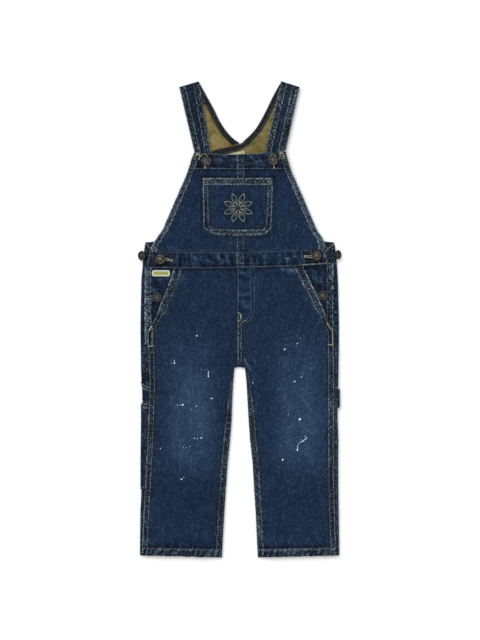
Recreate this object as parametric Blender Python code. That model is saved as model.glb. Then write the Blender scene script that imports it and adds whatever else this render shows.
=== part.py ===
# A small child's denim dungarees, laid flat on their back: front up, feet towards -Y.
# Lengths are in millimetres here and become metres when a piece is made.
# "right" and "left" are the wearer's, so the right side lies at -X.
import math
from collections import namedtuple

import bmesh
import bpy
from mathutils import Matrix, Vector

MM = 0.001
SIDES = {"right": -1, "left": 1}

# Walls and the gap between pieces
CLOTH = 1.2             # one layer of denim
HEM = 2.0               # turned hem, felled seam or doubled band
STRAP_WALL = 1.8
BINDING = 0.8
LABEL = 1.0
PATCH = 1.0             # utility pocket and hammer loop
GAP = 0.3
RIDGE = 0.6             # how far a felled seam stands up

# Undersides of the layers, from the floor up
SECOND = CLOTH + GAP                # underlap, and the upper of the two back panels
THIRD = 2 * (CLOTH + GAP)           # pocket facings, front straps
FRONT = 3 * (CLOTH + GAP) + 0.1     # front legs, level part
BIB = 4.3
BIB_OVER_STRAP = THIRD + STRAP_WALL + GAP + 0.1
LIFT = PATCH + GAP                  # how far a sewn-on patch holds the leg off the floor
WRAP_TOP = 4.2                      # top of a back leg where it comes round to the front
WRAP_DEEP = 1.8                     # half width of that turn

# Places that several pieces share
WAIST_FOOT, WAIST_HEAD = 85.2, 111.3
BACK_WAIST_HEAD = 130.0
UNDERLAP_END = 122.0
PLACKET_END = -42.0
CROTCH, CROTCH_HALF = -79.0, 8.6
FLY_EDGE = -3.5
BIB_SEAM = -4.5
BIB_STRIP = 12.8
BIB_HEM = 248.0
LEG_HEM = -377.5
LEG_END = -393.5
SEAM_BAND = 9.5
PATCH_INNER = 84.0

DENIM = dict(color=(0.016, 0.030, 0.066), roughness=0.88)
WHITE = dict(color=(0.560, 0.560, 0.450), roughness=0.80)
BRASS = dict(color=(0.070, 0.062, 0.045), roughness=0.38, metallic=0.85)

# Leg sections: distances from the middle of the garment.
# outer is the silhouette, seam the free edge of the front leg (the slanted pocket mouth, then
# the side seam), inner the inseam (0 above the crotch), lift 1 where a patch lies underneath.
Leg = namedtuple("Leg", "y outer seam inner lift")
LEGS = {
    "right": [
        Leg(85.2, 160.5, 108.5, 0, 0), Leg(66, 162.6, 114.5, 0, 0), Leg(46, 163.0, 122.0, 0, 0),
        Leg(28, 163.4, 129.5, 0, 0), Leg(8, 163.8, 137.0, 0, 0), Leg(-6, 164.0, 144.0, 0, 0),
        Leg(-20, 164.0, 152.5, 0, 0), Leg(-42, 163.8, 152.4, 0, 0), Leg(-50, 163.6, 151.5, 0, 0),
        Leg(-62, 163.4, 150.2, 0, 0), Leg(-78.5, 163.2, 149.8, 0, 0), Leg(-80.5, 163.2, 149.8, 8.7, 0),
        Leg(-102, 163.8, 149.5, 10.6, 1), Leg(-112, 161.4, 149.6, 11.2, 1),
        Leg(-134, 161.0, 150.0, 12.3, 1), Leg(-139, 163.4, 150.2, 12.5, 1),
        Leg(-165, 163.2, 151.0, 13.3, 1), Leg(-200, 163.6, 152.6, 16.0, 1),
        Leg(-240, 164.0, 154.6, 20.0, 1), Leg(-282, 164.0, 157.0, 23.0, 1),
        Leg(-322, 164.2, 159.0, 25.5, 0), Leg(-352, 164.6, 160.5, 27.3, 0),
        Leg(-376.8, 164.8, 161.6, 28.7, 0), Leg(-378.3, 164.8, 161.6, 28.8, 0),
        Leg(LEG_END, 165.0, 162.0, 29.5, 0),
    ],
    "left": [
        Leg(85.2, 160.5, 104.5, 0, 0), Leg(66, 162.0, 114.3, 0, 0), Leg(46, 162.8, 124.0, 0, 0),
        Leg(28, 163.2, 133.0, 0, 0), Leg(8, 163.8, 142.0, 0, 0), Leg(-6, 164.0, 145.5, 0, 0),
        Leg(-20, 164.0, 155.5, 0, 0), Leg(-42, 164.0, 155.8, 0, 0), Leg(-50, 163.8, 155.5, 0, 0),
        Leg(-62, 163.6, 155.8, 0, 0), Leg(-78.5, 163.4, 156.0, 0, 0), Leg(-80.5, 163.4, 156.0, 8.6, 0),
        Leg(-102, 163.0, 156.0, 11.0, 1), Leg(-127, 162.2, 156.0, 12.4, 1),
        Leg(-160, 161.6, 156.0, 14.2, 1), Leg(-200, 163.0, 156.0, 17.0, 0),
        Leg(-240, 162.8, 156.0, 21.4, 0), Leg(-282, 163.0, 156.4, 23.6, 0),
        Leg(-322, 163.6, 157.5, 26.4, 0), Leg(-352, 164.0, 158.5, 27.6, 0),
        Leg(-376.8, 164.2, 160.0, 28.6, 0), Leg(-378.3, 164.2, 160.0, 28.7, 0),
        Leg(LEG_END, 164.4, 160.5, 30.0, 0),
    ],
}

# Bib sections: distance of the armhole edge from the middle.
Bib = namedtuple("Bib", "y right left")
BIBS = [
    Bib(273, 75.4, 75.6), Bib(262, 80.2, 79.4), Bib(248.7, 84.5, 84.2), Bib(247.3, 85.0, 84.6),
    Bib(240, 87.6, 87.4), Bib(224, 94.8, 95.0), Bib(205, 103.0, 103.6), Bib(180, 113.8, 113.8),
    Bib(147, 128.0, 128.0), Bib(132, 139.0, 137.4), Bib(118, 146.6, 141.2), Bib(WAIST_HEAD, 148.0, 140.5),
]

# Back panel sections, from the neck edge across to the armhole edge. The neck edge of each
# panel sweeps past the middle (negative distances) and the panel runs on to the waistband.
# band is the width of the neck binding along the section, rise 1 where a panel is on the other.
Back = namedtuple("Back", "neck_x neck_y arm_x arm_y band rise")
BACKS = {
    "right": [
        Back(67, 391.0, 99.6, 381.5, 9.6, 0), Back(60, 378.8, 95, 366, 9.6, 0), Back(50, 360.6, 91, 350, 9.6, 0),
        Back(42, 346, 87, 333, 9.6, 0), Back(35, 331.3, 83.6, 318, 9.6, 0), Back(27, 317.8, 79.8, 302, 9.8, 0),
        Back(17, 305, 77, 290, 10.4, 0), Back(8, 296.5, 74.8, 280, 11, 0), Back(0, 290.5, 75, 272, 13, 0),
        Back(-24, 284, 77, 262, 16, 0), Back(-48, 278, 82, 248, 17, 0), Back(-62, 264, 87, 234, 0, 0),
        Back(-74, 238, 94.5, 216, 0, 0), Back(-96, 185, 112, 176, 0, 0),
        Back(-117, 130.3, 135, 130.3, 0, 0),
    ],
    "left": [
        Back(68, 391.4, 98.6, 381.5, 9.6, 0), Back(60.5, 378.8, 94.6, 368, 9.6, 0), Back(51, 360.5, 90.4, 352, 9.6, 0),
        Back(45, 348, 86.4, 335, 9.6, 0), Back(37, 332.4, 82.8, 320, 9.6, 0.25), Back(28, 317, 79.2, 304, 9.8, 0.65),
        Back(18, 305.2, 76.4, 291, 10.4, 1), Back(8.5, 296.3, 75, 281, 11, 1), Back(1, 290.5, 74.8, 272, 13, 1),
        Back(-23, 284.3, 76.8, 262, 22, 1), Back(-46.3, 278.5, 81.6, 248, 23, 1), Back(-62, 264, 86.6, 234, 0, 1),
        Back(-74, 238, 94.5, 216, 0, 1), Back(-96, 185, 112, 176, 0, 1),
        Back(-117, 130.3, 133, 130.3, 0, 1),
    ],
}

# Front strap edges: where each meets the shoulder fold, and where it ends inside the bib.
Strap = namedtuple("Strap", "outer_end inner_end outer_top inner_top")
STRAPS = {
    "right": Strap((67.8, 246), (42.5, 247), (99.6, 381.5), (67, 391.0)),
    "left": Strap((68.8, 246), (35.0, 247), (98.6, 381.5), (68, 391.4)),
}


def clamp(t):
    return min(max(t, 0.0), 1.0)


def ease(t):
    # Rises from 0 and is level at 1
    return 1 - (1 - clamp(t)) ** 2


def smooth(t):
    t = clamp(t)
    return t * t * (3 - 2 * t)


def mix(a, b, t):
    return a + (b - a) * t


def read(table, column, y):
    # The column's value on the straight lines between the table's sections
    upper = table[0]
    for lower in table[1:]:
        if y >= lower.y:
            t = clamp((upper.y - y) / (upper.y - lower.y))
            return mix(getattr(upper, column), getattr(lower, column), t)
        upper = lower
    return getattr(upper, column)


def waist_foot(x):
    return WAIST_FOOT + 0.019 * x + 1.0 * (x / 100) ** 2 + 1.6 * (x / 150) ** 4


def waist_head(x):
    return WAIST_HEAD + 0.018 * x + 1.2 * (x / 100) ** 2


def bib_top(x):
    return 272.6 + 0.022 * x + 4.3 * (x / 75) ** 2


def leg_y(y, x):
    # Top rows follow the waist seam and bottom rows the hem, which falls towards the inseam
    waist = clamp((y - 8) / (WAIST_FOOT - 8)) * (waist_foot(x) - WAIST_FOOT - GAP / 2)
    hem = clamp((-322 - y) / (-322 - LEG_END)) * 3.4 * (abs(x) - 30) / 133
    return y + waist + hem


def make_material(name, color, roughness, metallic=0.0):
    material = bpy.data.materials.new(name)
    material.use_nodes = True
    shader = material.node_tree.nodes["Principled BSDF"]
    shader.inputs["Base Color"].default_value = (*color, 1.0)
    shader.inputs["Roughness"].default_value = roughness
    shader.inputs["Metallic"].default_value = metallic
    return material


def add_object(name, bm, finish, smooth_over=None):
    bmesh.ops.recalc_face_normals(bm, faces=bm.faces)
    if bm.calc_volume(signed=True) < 0:
        bmesh.ops.reverse_faces(bm, faces=bm.faces)
    mesh = bpy.data.meshes.new(name)
    bm.to_mesh(mesh)
    bm.free()
    mesh.materials.append(make_material(name, **finish))
    if smooth_over is not None:
        mesh.shade_smooth()
        mesh.set_sharp_from_angle(angle=math.radians(smooth_over))
    piece = bpy.data.objects.new(name, mesh)
    bpy.context.scene.collection.objects.link(piece)
    return piece


def cloth(name, finish, sections):
    # A closed wall of cloth. A section is a list of pairs across the piece: one point on each
    # face of the cloth. Neighbouring sections are joined on both faces and along both edges.
    bm = bmesh.new()
    rows = []
    for section in sections:
        rows.append([(bm.verts.new(Vector(a) * MM), bm.verts.new(Vector(b) * MM)) for a, b in section])
    for near, far in zip(rows, rows[1:]):
        for p, q, r, s in zip(near, near[1:], far[1:], far):
            for face in (0, 1):
                bm.faces.new((p[face], q[face], r[face], s[face]))
        for end in (0, -1):
            bm.faces.new((near[end][0], near[end][1], far[end][1], far[end][0]))
    for row in (rows[0], rows[-1]):
        for p, q in zip(row, row[1:]):
            bm.faces.new((p[0], q[0], q[1], p[1]))
    return add_object(name, bm, finish)


def pair(x, y, under, wall):
    return (x, y, under), (x, y, under + wall)


# ---- legs ----

# The largest creases, as soft troughs between two points of a front leg
Crease = namedtuple("Crease", "start end half_width depth")
CREASES = {
    "right": [
        Crease((-18, -58), (-78, -26), 10, 0.9), Crease((-24, -92), (-92, -74), 11, 0.7),
        Crease((-34, -146), (-112, -126), 15, 0.6), Crease((-40, -222), (-124, -206), 16, 0.6),
        Crease((-60, -300), (-128, -290), 18, 0.4),
    ],
    "left": [
        Crease((18, -56), (84, -18), 10, 0.9), Crease((26, -98), (98, -84), 12, 0.7),
        Crease((44, -138), (126, -118), 15, 0.6), Crease((42, -230), (132, -212), 17, 0.6),
        Crease((48, -306), (112, -296), 18, 0.4),
    ],
}


def crease_depth(side, x, y):
    total = 0.0
    for crease in CREASES[side]:
        start, end = Vector(crease.start), Vector(crease.end)
        run = end - start
        t = clamp((Vector((x, y)) - start).dot(run) / run.length_squared)
        away = (Vector((x, y)) - start - run * t).length
        total += crease.depth * smooth(1 - away / (crease.half_width * 1.6))
    return total


def front_under(side, x, y):
    # Underside of a front leg: low at the inseam and crotch, level inside, lower at the side seam
    table = LEGS[side]
    if y < CROTCH:
        from_inner = abs(x) - read(table, "inner", y)
    else:
        from_inner = math.hypot(max(abs(x) - CROTCH_HALF, 0), y - CROTCH)
    from_outer = read(table, "seam", y) - abs(x)
    side_drop = (FRONT - 3.4) * smooth((-50 - y) / 14)
    crown = 0.4 * ease(min(from_inner, from_outer) / 60)
    drop = (FRONT - SECOND) * (1 - ease(from_inner / 32)) + side_drop * (1 - ease(from_outer / 26))
    return FRONT + crown - drop - crease_depth(side, x, y) * ease(from_inner / 32)


def front_leg(side):
    sign = SIDES[side]
    sections = []
    for row in LEGS[side]:
        inner = sign * row.inner if row.inner else FLY_EDGE - (GAP if sign < 0 else 0)
        outer = sign * row.seam
        width = abs(outer - inner)
        across = [0, 4, 11, 11.8, 26]
        across += [mix(26, width - 26, k / 6) for k in range(1, 6)]
        across += [width - 26, width - SEAM_BAND - 0.8, width - SEAM_BAND, width]
        section = []
        for d in across:
            x = inner + sign * d
            wall = HEM if row.y < LEG_HEM else CLOTH
            in_band = d <= 11 and (row.inner or sign > 0)
            if row.y > LEG_HEM and (in_band or d >= width - SEAM_BAND):
                wall += RIDGE
            section.append(pair(x, leg_y(row.y, x), front_under(side, x, row.y), wall))
        sections.append(section)
    cloth("front_leg_" + side, DENIM, sections)


def turn(middle, deep, low, high, wall):
    # The turn of a panel round the outer edge: from its lower face round to its upper one.
    # Gives (distance from the middle of the garment, height) on both faces of the cloth.
    centre, half = (low + high) / 2, (high - low) / 2
    points = []
    for angle in (-90, -45, 0, 45, 90):
        cos, sin = math.cos(math.radians(angle)), math.sin(math.radians(angle))
        outside = (middle + deep * cos, centre + half * sin)
        inside = (middle + (deep - wall) * cos, centre + (half - wall) * sin)
        points.append((outside, inside))
    return points


def back_leg(side):
    sign = SIDES[side]
    sections = []
    for row in LEGS[side]:
        patched = row.lift and side == "right"
        outer = row.outer - (LIFT if patched else 0)
        low = LIFT * row.lift
        placket = row.y >= PLACKET_END
        high = SECOND + CLOTH if placket else WRAP_TOP
        end = UNDERLAP_END if placket else row.seam + GAP
        inner = row.inner if row.inner else GAP / 2
        middle = outer - WRAP_DEEP
        floor = [(inner, 0), (mix(inner, 62, 0.5), 0), (62, 0), (80, low), (120, low)]
        places = [((d, z), (d, z + CLOTH)) for d, z in floor]
        places += turn(middle, WRAP_DEEP, low, high, CLOTH)
        for t in (0.5, 1.0):
            d = mix(middle, end, t)
            places.append(((d, high), (d, high - CLOTH)))
        section = []
        for outside, inside in places:
            points = []
            for d, z in (outside, inside):
                points.append((sign * d, leg_y(row.y, sign * d), z))
            section.append(tuple(points))
        sections.append(section)
    cloth("back_leg_" + side, DENIM, sections)


def pocket_facing(side, edge):
    # The hip piece behind the slanted pocket mouth, with the placket hem along its outer edge
    sign = SIDES[side]
    sections = []
    for y in (WAIST_FOOT, 60, 34, 8, -16, -30, PLACKET_END + 0.5):
        inner = read(LEGS[side], "seam", y) - 16
        places = (inner, mix(inner, edge, 0.5), edge - 13, edge)
        sections.append([pair(sign * d, leg_y(y, sign * d), THIRD, CLOTH) for d in sorted(places)])
    cloth("pocket_facing_" + side, DENIM, sections)


# ---- patches on the outside of the legs ----

def patch(name, side, rows, inner, end, outer, wall=PATCH):
    # Cloth sewn to the outside of a back leg: under the leg, round its edge and onto the front.
    # A row gives the height along the leg underneath and the height at the front edge.
    sign = SIDES[side]
    high = WRAP_TOP + GAP + wall
    sections = []
    for y, front_y in rows:
        edge = outer(y)
        deep = WRAP_DEEP + LIFT
        places = [((inner, 0), (inner, wall)), ((mix(inner, edge, 0.5), 0), (mix(inner, edge, 0.5), wall))]
        places += turn(edge - deep, deep, 0, high, wall)
        places.append(((end(y), high), (end(y), high - wall)))
        section = []
        for k, (outside, inside) in enumerate(places):
            height = mix(y, front_y, clamp((k - 4) / (len(places) - 5)))
            section.append(tuple((sign * d, height, z) for d, z in (outside, inside)))
        sections.append(section)
    cloth(name, DENIM, sections)


def utility_pockets():
    table = LEGS["right"]

    def outer(y):
        return read(table, "outer", y)

    def end(y):
        return min(read(table, "seam", y) + 0.8, outer(y) - WRAP_DEEP - LIFT - 0.3)

    upper = [(-102.5, -111.5), (-112, -120), (-127, -127), (-133.6, -133.6)]
    lower = [(-139, -139), (-165, -165), (-200, -200), (-240, -240), (-281, -281)]
    patch("utility_pocket_upper", "right", upper, PATCH_INNER, end, outer)
    patch("utility_pocket_lower", "right", lower, PATCH_INNER, end, outer)


def hammer_loop():
    rows = [(-115, -115), (-127, -127), (-146, -146)]
    patch("hammer_loop", "left", rows, 98, lambda y: 156.8, lambda y: 165.5)


# ---- waist ----

def waist_under(x, end):
    # Lower at the ends, with the shallow upright ripples of a band that has pulled short
    ripple = 0.35 * math.sin(x / 11.0) * math.sin(x / 27.0 + 0.6)
    return BIB + ripple - 1.0 * (1 - ease((end - abs(x)) / 30))


def front_waistband(side, foot_end, head_end):
    sign = SIDES[side]
    centre = BIB_SEAM - 0.8 - (GAP if sign < 0 else 0)
    strip = BIB_STRIP - 0.9
    sections = []
    for t in (0, 0.12, 0.5, 0.88, 1):
        end = mix(foot_end, head_end, t)
        width = abs(sign * end - centre)
        across = [0, strip, strip + 0.8] + [mix(strip + 0.8, width, k / 14) for k in range(1, 15)]
        section = []
        for d in across:
            x = centre + sign * d
            y = mix(waist_foot(x) + GAP / 2, waist_head(x), t)
            wall = HEM + (RIDGE if sign > 0 and d <= strip else 0)
            section.append(pair(x, y, waist_under(x, end), wall))
        sections.append(section)
    cloth("front_waistband_" + side, DENIM, sections)


def back_waistband():
    # Lies on the floor, turns round both sides and runs under the front waistband's ends
    sections = []
    end, high = 115.0, SECOND + CLOTH
    deep = high / 2
    for t in (0, 0.35, 0.7, 1):
        outer = mix(160.5, 156.2, t ** 1.5)
        half = [((end, high), (end, high - CLOTH), 117.0), ((140, high), (140, high - CLOTH), 117.0)]
        for k, (outside, inside) in enumerate(reversed(turn(outer - deep, deep, 0, high, CLOTH))):
            half.append((outside, inside, mix(125.0, 127.5, k / 4)))
        half += [((d, 0), (d, CLOTH), BACK_WAIST_HEAD) for d in (139, 95, 48)]
        ring = [(-1, place) for place in half] + [(1, place) for place in reversed(half)]
        section = []
        for sign, (outside, inside, top) in ring:
            points = []
            for d, z in (outside, inside):
                x = sign * d
                points.append((x, mix(waist_foot(x) + GAP / 2, top, t), z))
            section.append(tuple(points))
        sections.append(section)
    cloth("back_waistband", DENIM, sections)


# ---- bib ----

def strap_zone(x, y):
    # 1 over the strap ends, which lie inside the top corners of the bib
    return smooth((abs(x) - 20) / 11) * smooth((y - 224) / 15)


def bib_under(side, x, y):
    zone = strap_zone(x, y)
    from_edge = read(BIBS, side, y) - abs(x)
    low_edge = 0.9 * (1 - ease(from_edge / 22)) * (1 - zone)
    return mix(BIB, BIB_OVER_STRAP, zone) - low_edge


def bib_y(y, x):
    # The lowest row follows the waistband and the top rows the bib's curved top edge
    foot = clamp((147 - y) / (147 - WAIST_HEAD)) * (waist_head(x) + GAP - WAIST_HEAD)
    top = clamp((y - BIB_HEM) / (273 - BIB_HEM)) * (bib_top(x) - 273)
    return y + foot + top


def bib(side):
    sign = SIDES[side]
    centre = BIB_SEAM - (GAP if sign < 0 else 0)
    strip = BIB_STRIP if sign > 0 else 9.0
    sections = []
    for row in BIBS:
        width = abs(sign * getattr(row, side) - centre)
        across = [0, strip, strip + 0.8] + [mix(strip + 0.8, width - 11.3, k / 5) for k in range(1, 6)]
        across += [width - 10.5, width - 5, width]
        section = []
        for d in across:
            x = centre + sign * d
            hemmed = d >= width - 10.5 or row.y > BIB_HEM
            wall = HEM if hemmed else CLOTH
            if sign > 0 and d <= strip:
                wall += RIDGE
            section.append(pair(x, bib_y(row.y, x), bib_under(side, x, row.y), wall))
        sections.append(section)
    cloth("bib_" + side, DENIM, sections)


# Chest pocket sections: its side edges, left as seen, and the wall there
Pocket = namedtuple("Pocket", "y low_x high_x wall")
CHEST_POCKET = [
    Pocket(233.0, -61.0, 55.0, HEM), Pocket(222.4, -61.0, 54.8, HEM), Pocket(221.6, -61.0, 54.8, CLOTH),
    Pocket(200.0, -60.4, 54.2, CLOTH), Pocket(175.0, -59.6, 53.3, CLOTH), Pocket(151.0, -59.0, 52.4, CLOTH),
    Pocket(145.0, -51.0, 46.8, CLOTH), Pocket(139.2, -43.4, 40.6, CLOTH),
]


def chest_pocket():
    # Lies on the bib and rides over its middle seam
    sections = []
    low_end, high_end = BIB_SEAM - 6, BIB_SEAM + BIB_STRIP + 6
    for row in CHEST_POCKET:
        places = [mix(row.low_x, low_end - 8, t) for t in (0, 0.15, 0.4, 0.7, 1)]
        places += [low_end, high_end]
        places += [mix(high_end + 8, row.high_x, t) for t in (0, 0.3, 0.6, 0.85, 1)]
        section = []
        for x in places:
            side = "left" if x > 0 else "right"
            over_seam = RIDGE if low_end <= x <= high_end else 0
            point = 1.6 * (1 - abs(x) / 45) * clamp((151 - row.y) / 12)
            under = bib_under(side, x, row.y) + CLOTH + GAP + over_seam
            section.append(pair(x, row.y - point, under, row.wall))
        sections.append(section)
    cloth("chest_pocket", DENIM, sections)


# ---- straps and back panels ----

def strap(side):
    # One piece: the front strap, its turn over the shoulder, and the back panel it widens into
    sign = SIDES[side]
    shape = STRAPS[side]
    across = (0, 0.12, 0.5, 0.88, 1)
    sections = []

    def add(outer, inner, under, over):
        section = []
        for t in across:
            x, y = mix(outer[0], inner[0], t), mix(outer[1], inner[1], t)
            section.append(((sign * x, y, under), (sign * x, y, over)))
        sections.append(section)

    def between(start, end, t):
        return mix(start[0], end[0], t), mix(start[1], end[1], t)

    for t in (0, 0.14, 0.3, 0.48, 0.66, 0.84, 1):
        outer = between(shape.outer_end, shape.outer_top, t)
        inner = between(shape.inner_end, shape.inner_top, t)
        add(outer, inner, THIRD, THIRD + STRAP_WALL)
    # The turn: square to the shoulder line, from the front strap down to the floor
    along = Vector((shape.inner_top[0] - shape.outer_top[0], shape.inner_top[1] - shape.outer_top[1]))
    up = Vector((along.y, -along.x)).normalized()
    height = THIRD + STRAP_WALL
    for angle in (45, 90, 135):
        cos, sin = math.cos(math.radians(angle)), math.sin(math.radians(angle))
        wall = mix(STRAP_WALL, CLOTH, angle / 180)
        reach = height / 2 * sin
        inside = (height / 2 - wall) * sin
        section = []
        for t in across:
            x, y = between(shape.outer_top, shape.inner_top, t)
            x_in, y_in = x + up.x * inside, y + up.y * inside
            x_out, y_out = x + up.x * reach, y + up.y * reach
            low = (THIRD + CLOTH) / 2 + (THIRD - CLOTH) / 2 * cos
            high = height / 2 + height / 2 * cos
            section.append(((sign * x_in, y_in, low), (sign * x_out, y_out, high)))
        sections.append(section)
    for row in BACKS[side]:
        floor = SECOND * row.rise
        add((row.arm_x, row.arm_y), (row.neck_x, row.neck_y), floor + CLOTH, floor)
    cloth("strap_" + side, DENIM, sections)


def neck_binding(side, last, tip):
    # Runs along the neck edge on the inside of a back panel, as far as a row and then its tip
    sign = SIDES[side]
    sections = []
    for row in BACKS[side][:last]:
        neck = Vector((row.neck_x, row.neck_y))
        inward = (Vector((row.arm_x, row.arm_y)) - neck).normalized()
        under = SECOND * row.rise + CLOTH + GAP
        section = []
        for t in (0, 0.5, 1):
            place = neck + inward * row.band * t
            section.append(pair(sign * place.x, place.y, under, BINDING))
        sections.append(section)
    sections.append([pair(sign * x, y, under, BINDING) for x, y in tip])
    cloth("neck_binding_" + side, DENIM, sections)


# ---- labels ----

def label(name, corner, angle, width, height, under, wall, corner_cut=1.0):
    # A flat woven label hanging from its right-hand top corner, with small clipped corners
    right = Vector((math.cos(math.radians(angle)), math.sin(math.radians(angle))))
    up = Vector((-right.y, right.x))
    sections = []
    for down, inset in ((0, corner_cut), (corner_cut, 0), (height - corner_cut, 0), (height, corner_cut)):
        section = []
        for t in (0, 0.5, 1):
            place = Vector(corner) - up * down - right * mix(width - inset, inset, t)
            section.append(pair(place.x, place.y, under, wall))
        sections.append(section)
    cloth(name, WHITE, sections)


# ---- buttons ----

BUTTON_RADIUS = 7.9
BUTTON_HEIGHT = 2.6
SHANK_RADIUS = 1.6


def button(name, x, y, under, tilt, shank):
    # A pressed cap with a raised rim and a dished middle, and the shank under it where it shows
    bm = bmesh.new()
    bmesh.ops.create_cone(bm, cap_ends=True, segments=20, radius1=BUTTON_RADIUS * MM,
                          radius2=(BUTTON_RADIUS - 0.5) * MM, depth=BUTTON_HEIGHT * MM)
    bmesh.ops.translate(bm, verts=bm.verts, vec=(0, 0, BUTTON_HEIGHT / 2 * MM))
    bm.faces.ensure_lookup_table()
    top = max(bm.faces, key=lambda face: face.calc_center_median().z)
    bmesh.ops.inset_region(bm, faces=[top], thickness=1.3 * MM)
    bmesh.ops.inset_region(bm, faces=[top], thickness=0.9 * MM, depth=-0.8 * MM)
    bmesh.ops.inset_region(bm, faces=[top], thickness=3.0 * MM, depth=0.5 * MM)
    if shank:
        bottom = min(bm.faces, key=lambda face: face.calc_center_median().z)
        bmesh.ops.inset_region(bm, faces=[bottom], thickness=(BUTTON_RADIUS - SHANK_RADIUS) * MM)
        stem = bmesh.ops.extrude_face_region(bm, geom=[bottom])
        moved = [part for part in stem["geom"] if isinstance(part, bmesh.types.BMVert)]
        bmesh.ops.translate(bm, verts=moved, vec=(0, 0, -shank * MM))
        bmesh.ops.delete(bm, geom=[bottom], context="FACES_ONLY")
    turned = Matrix.Rotation(math.radians(tilt), 4, "Y")
    placed = Matrix.Translation(Vector((x, y, under)) * MM) @ turned
    bmesh.ops.transform(bm, matrix=placed, verts=bm.verts)
    add_object(name, bm, BRASS, smooth_over=35)


Button = namedtuple("Button", "name x y under tilt shank")
BUTTONS = [
    Button("button_bib_right", -55.2, 261.0, BIB_OVER_STRAP + HEM + GAP, 0, 0),
    Button("button_bib_left", 54.6, 262.0, BIB_OVER_STRAP + HEM + GAP, 0, 0),
    Button("button_waist_right", -131.0, 99.0, BIB + HEM + GAP, 0, 0),
    Button("button_waist_left", 127.0, 105.0, BIB + HEM + GAP, 0, 0),
    Button("button_side_right", -161.0, 105.0, 5.4, -38, 3.2),
    Button("button_side_left", 161.6, 106.5, 6.3, 50, 3.6),
    Button("button_placket_right", -136.4, 36.5, THIRD + CLOTH + GAP, 0, 0),
    Button("button_placket_left", 137.5, 39.2, THIRD + CLOTH + GAP, 0, 0),
]


def build():
    for old in list(bpy.data.objects):
        bpy.data.objects.remove(old, do_unlink=True)
    for side in SIDES:
        back_leg(side)
        front_leg(side)
        bib(side)
        strap(side)
    pocket_facing("right", 157.6)
    pocket_facing("left", 155.8)
    utility_pockets()
    hammer_loop()
    back_waistband()
    front_waistband("right", 155.0, 149.0)
    front_waistband("left", 149.5, 140.5)
    chest_pocket()
    neck_binding("right", 8, ((0.5, 291.8), (6.7, 290.0), (13.0, 288.2)))
    neck_binding("left", 11, ((-47.3, 278.8), (-46.7, 275.6), (-46.2, 272.5)))
    label("neck_label", (7.5, 279.2), 14, 34, 14, SECOND + CLOTH + GAP, LABEL)
    label("hip_label", (-115.2, 81.0), 0, 29.6, 10.2, THIRD + CLOTH + GAP, LABEL)
    for each in BUTTONS:
        button(*each)


build()
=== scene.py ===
import math
from collections import namedtuple
from functools import cached_property, lru_cache

import bmesh
import bpy
from mathutils import Matrix, Vector, noise
from mathutils.bvhtree import BVHTree


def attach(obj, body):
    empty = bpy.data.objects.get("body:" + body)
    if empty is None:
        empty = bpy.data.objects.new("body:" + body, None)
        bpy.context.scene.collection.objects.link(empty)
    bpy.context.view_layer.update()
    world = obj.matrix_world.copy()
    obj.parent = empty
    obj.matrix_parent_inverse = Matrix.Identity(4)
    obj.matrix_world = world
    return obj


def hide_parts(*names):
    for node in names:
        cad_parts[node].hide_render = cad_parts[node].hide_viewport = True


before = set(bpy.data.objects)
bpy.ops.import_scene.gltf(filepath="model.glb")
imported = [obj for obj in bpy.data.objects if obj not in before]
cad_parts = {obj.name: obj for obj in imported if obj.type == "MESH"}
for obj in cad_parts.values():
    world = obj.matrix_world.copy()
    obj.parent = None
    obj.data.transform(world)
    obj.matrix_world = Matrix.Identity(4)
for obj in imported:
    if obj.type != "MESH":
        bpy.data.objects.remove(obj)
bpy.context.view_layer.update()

# Child's denim dungarees, laid on their back. Lengths are in millimetres until a mesh is made.
# "right" and "left" are the wearer's, so the right side lies at -X.
mm = 0.001
sideSign = {"right": -1, "left": 1}

# Walls, the gap between pieces, and how far a felled seam or a hidden patch lifts the cloth
clothWall, hemWall, strapWall = 1.2, 2.0, 1.8
bindingWall, labelWall, patchWall = 0.8, 1.0, 1.0
gap, ridge = 0.3, 0.6
patchLift = patchWall + gap

# Undersides of the layers, from the floor up
second = clothWall + gap
third = 2 * (clothWall + gap)
frontFoot = 3 * (clothWall + gap) + 0.1
bibFoot = 4.3
bibOverStrap = third + strapWall + gap + 0.1
wrapTop, wrapDeep = 4.2, 1.8

# Places that several pieces share
waistFootY, waistHeadY, backHeadY = 85.2, 111.3, 130.0
underlapEnd, placketEnd = 122.0, -42.0
crotchY, crotchHalf, flyEdge = -79.0, 8.6, -3.5
bibSeam, bibStrip, bibHem, bibHead = -4.5, 12.8, 248.0, 273
pocketFoot, pocketHead, pocketCut = 139.2, 233, 151
bandDepth, shinRow = 26, -322
legHem, legEnd = -377.5, -393.5
seamBand = 9.5
edgeZone = 26.0

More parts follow.
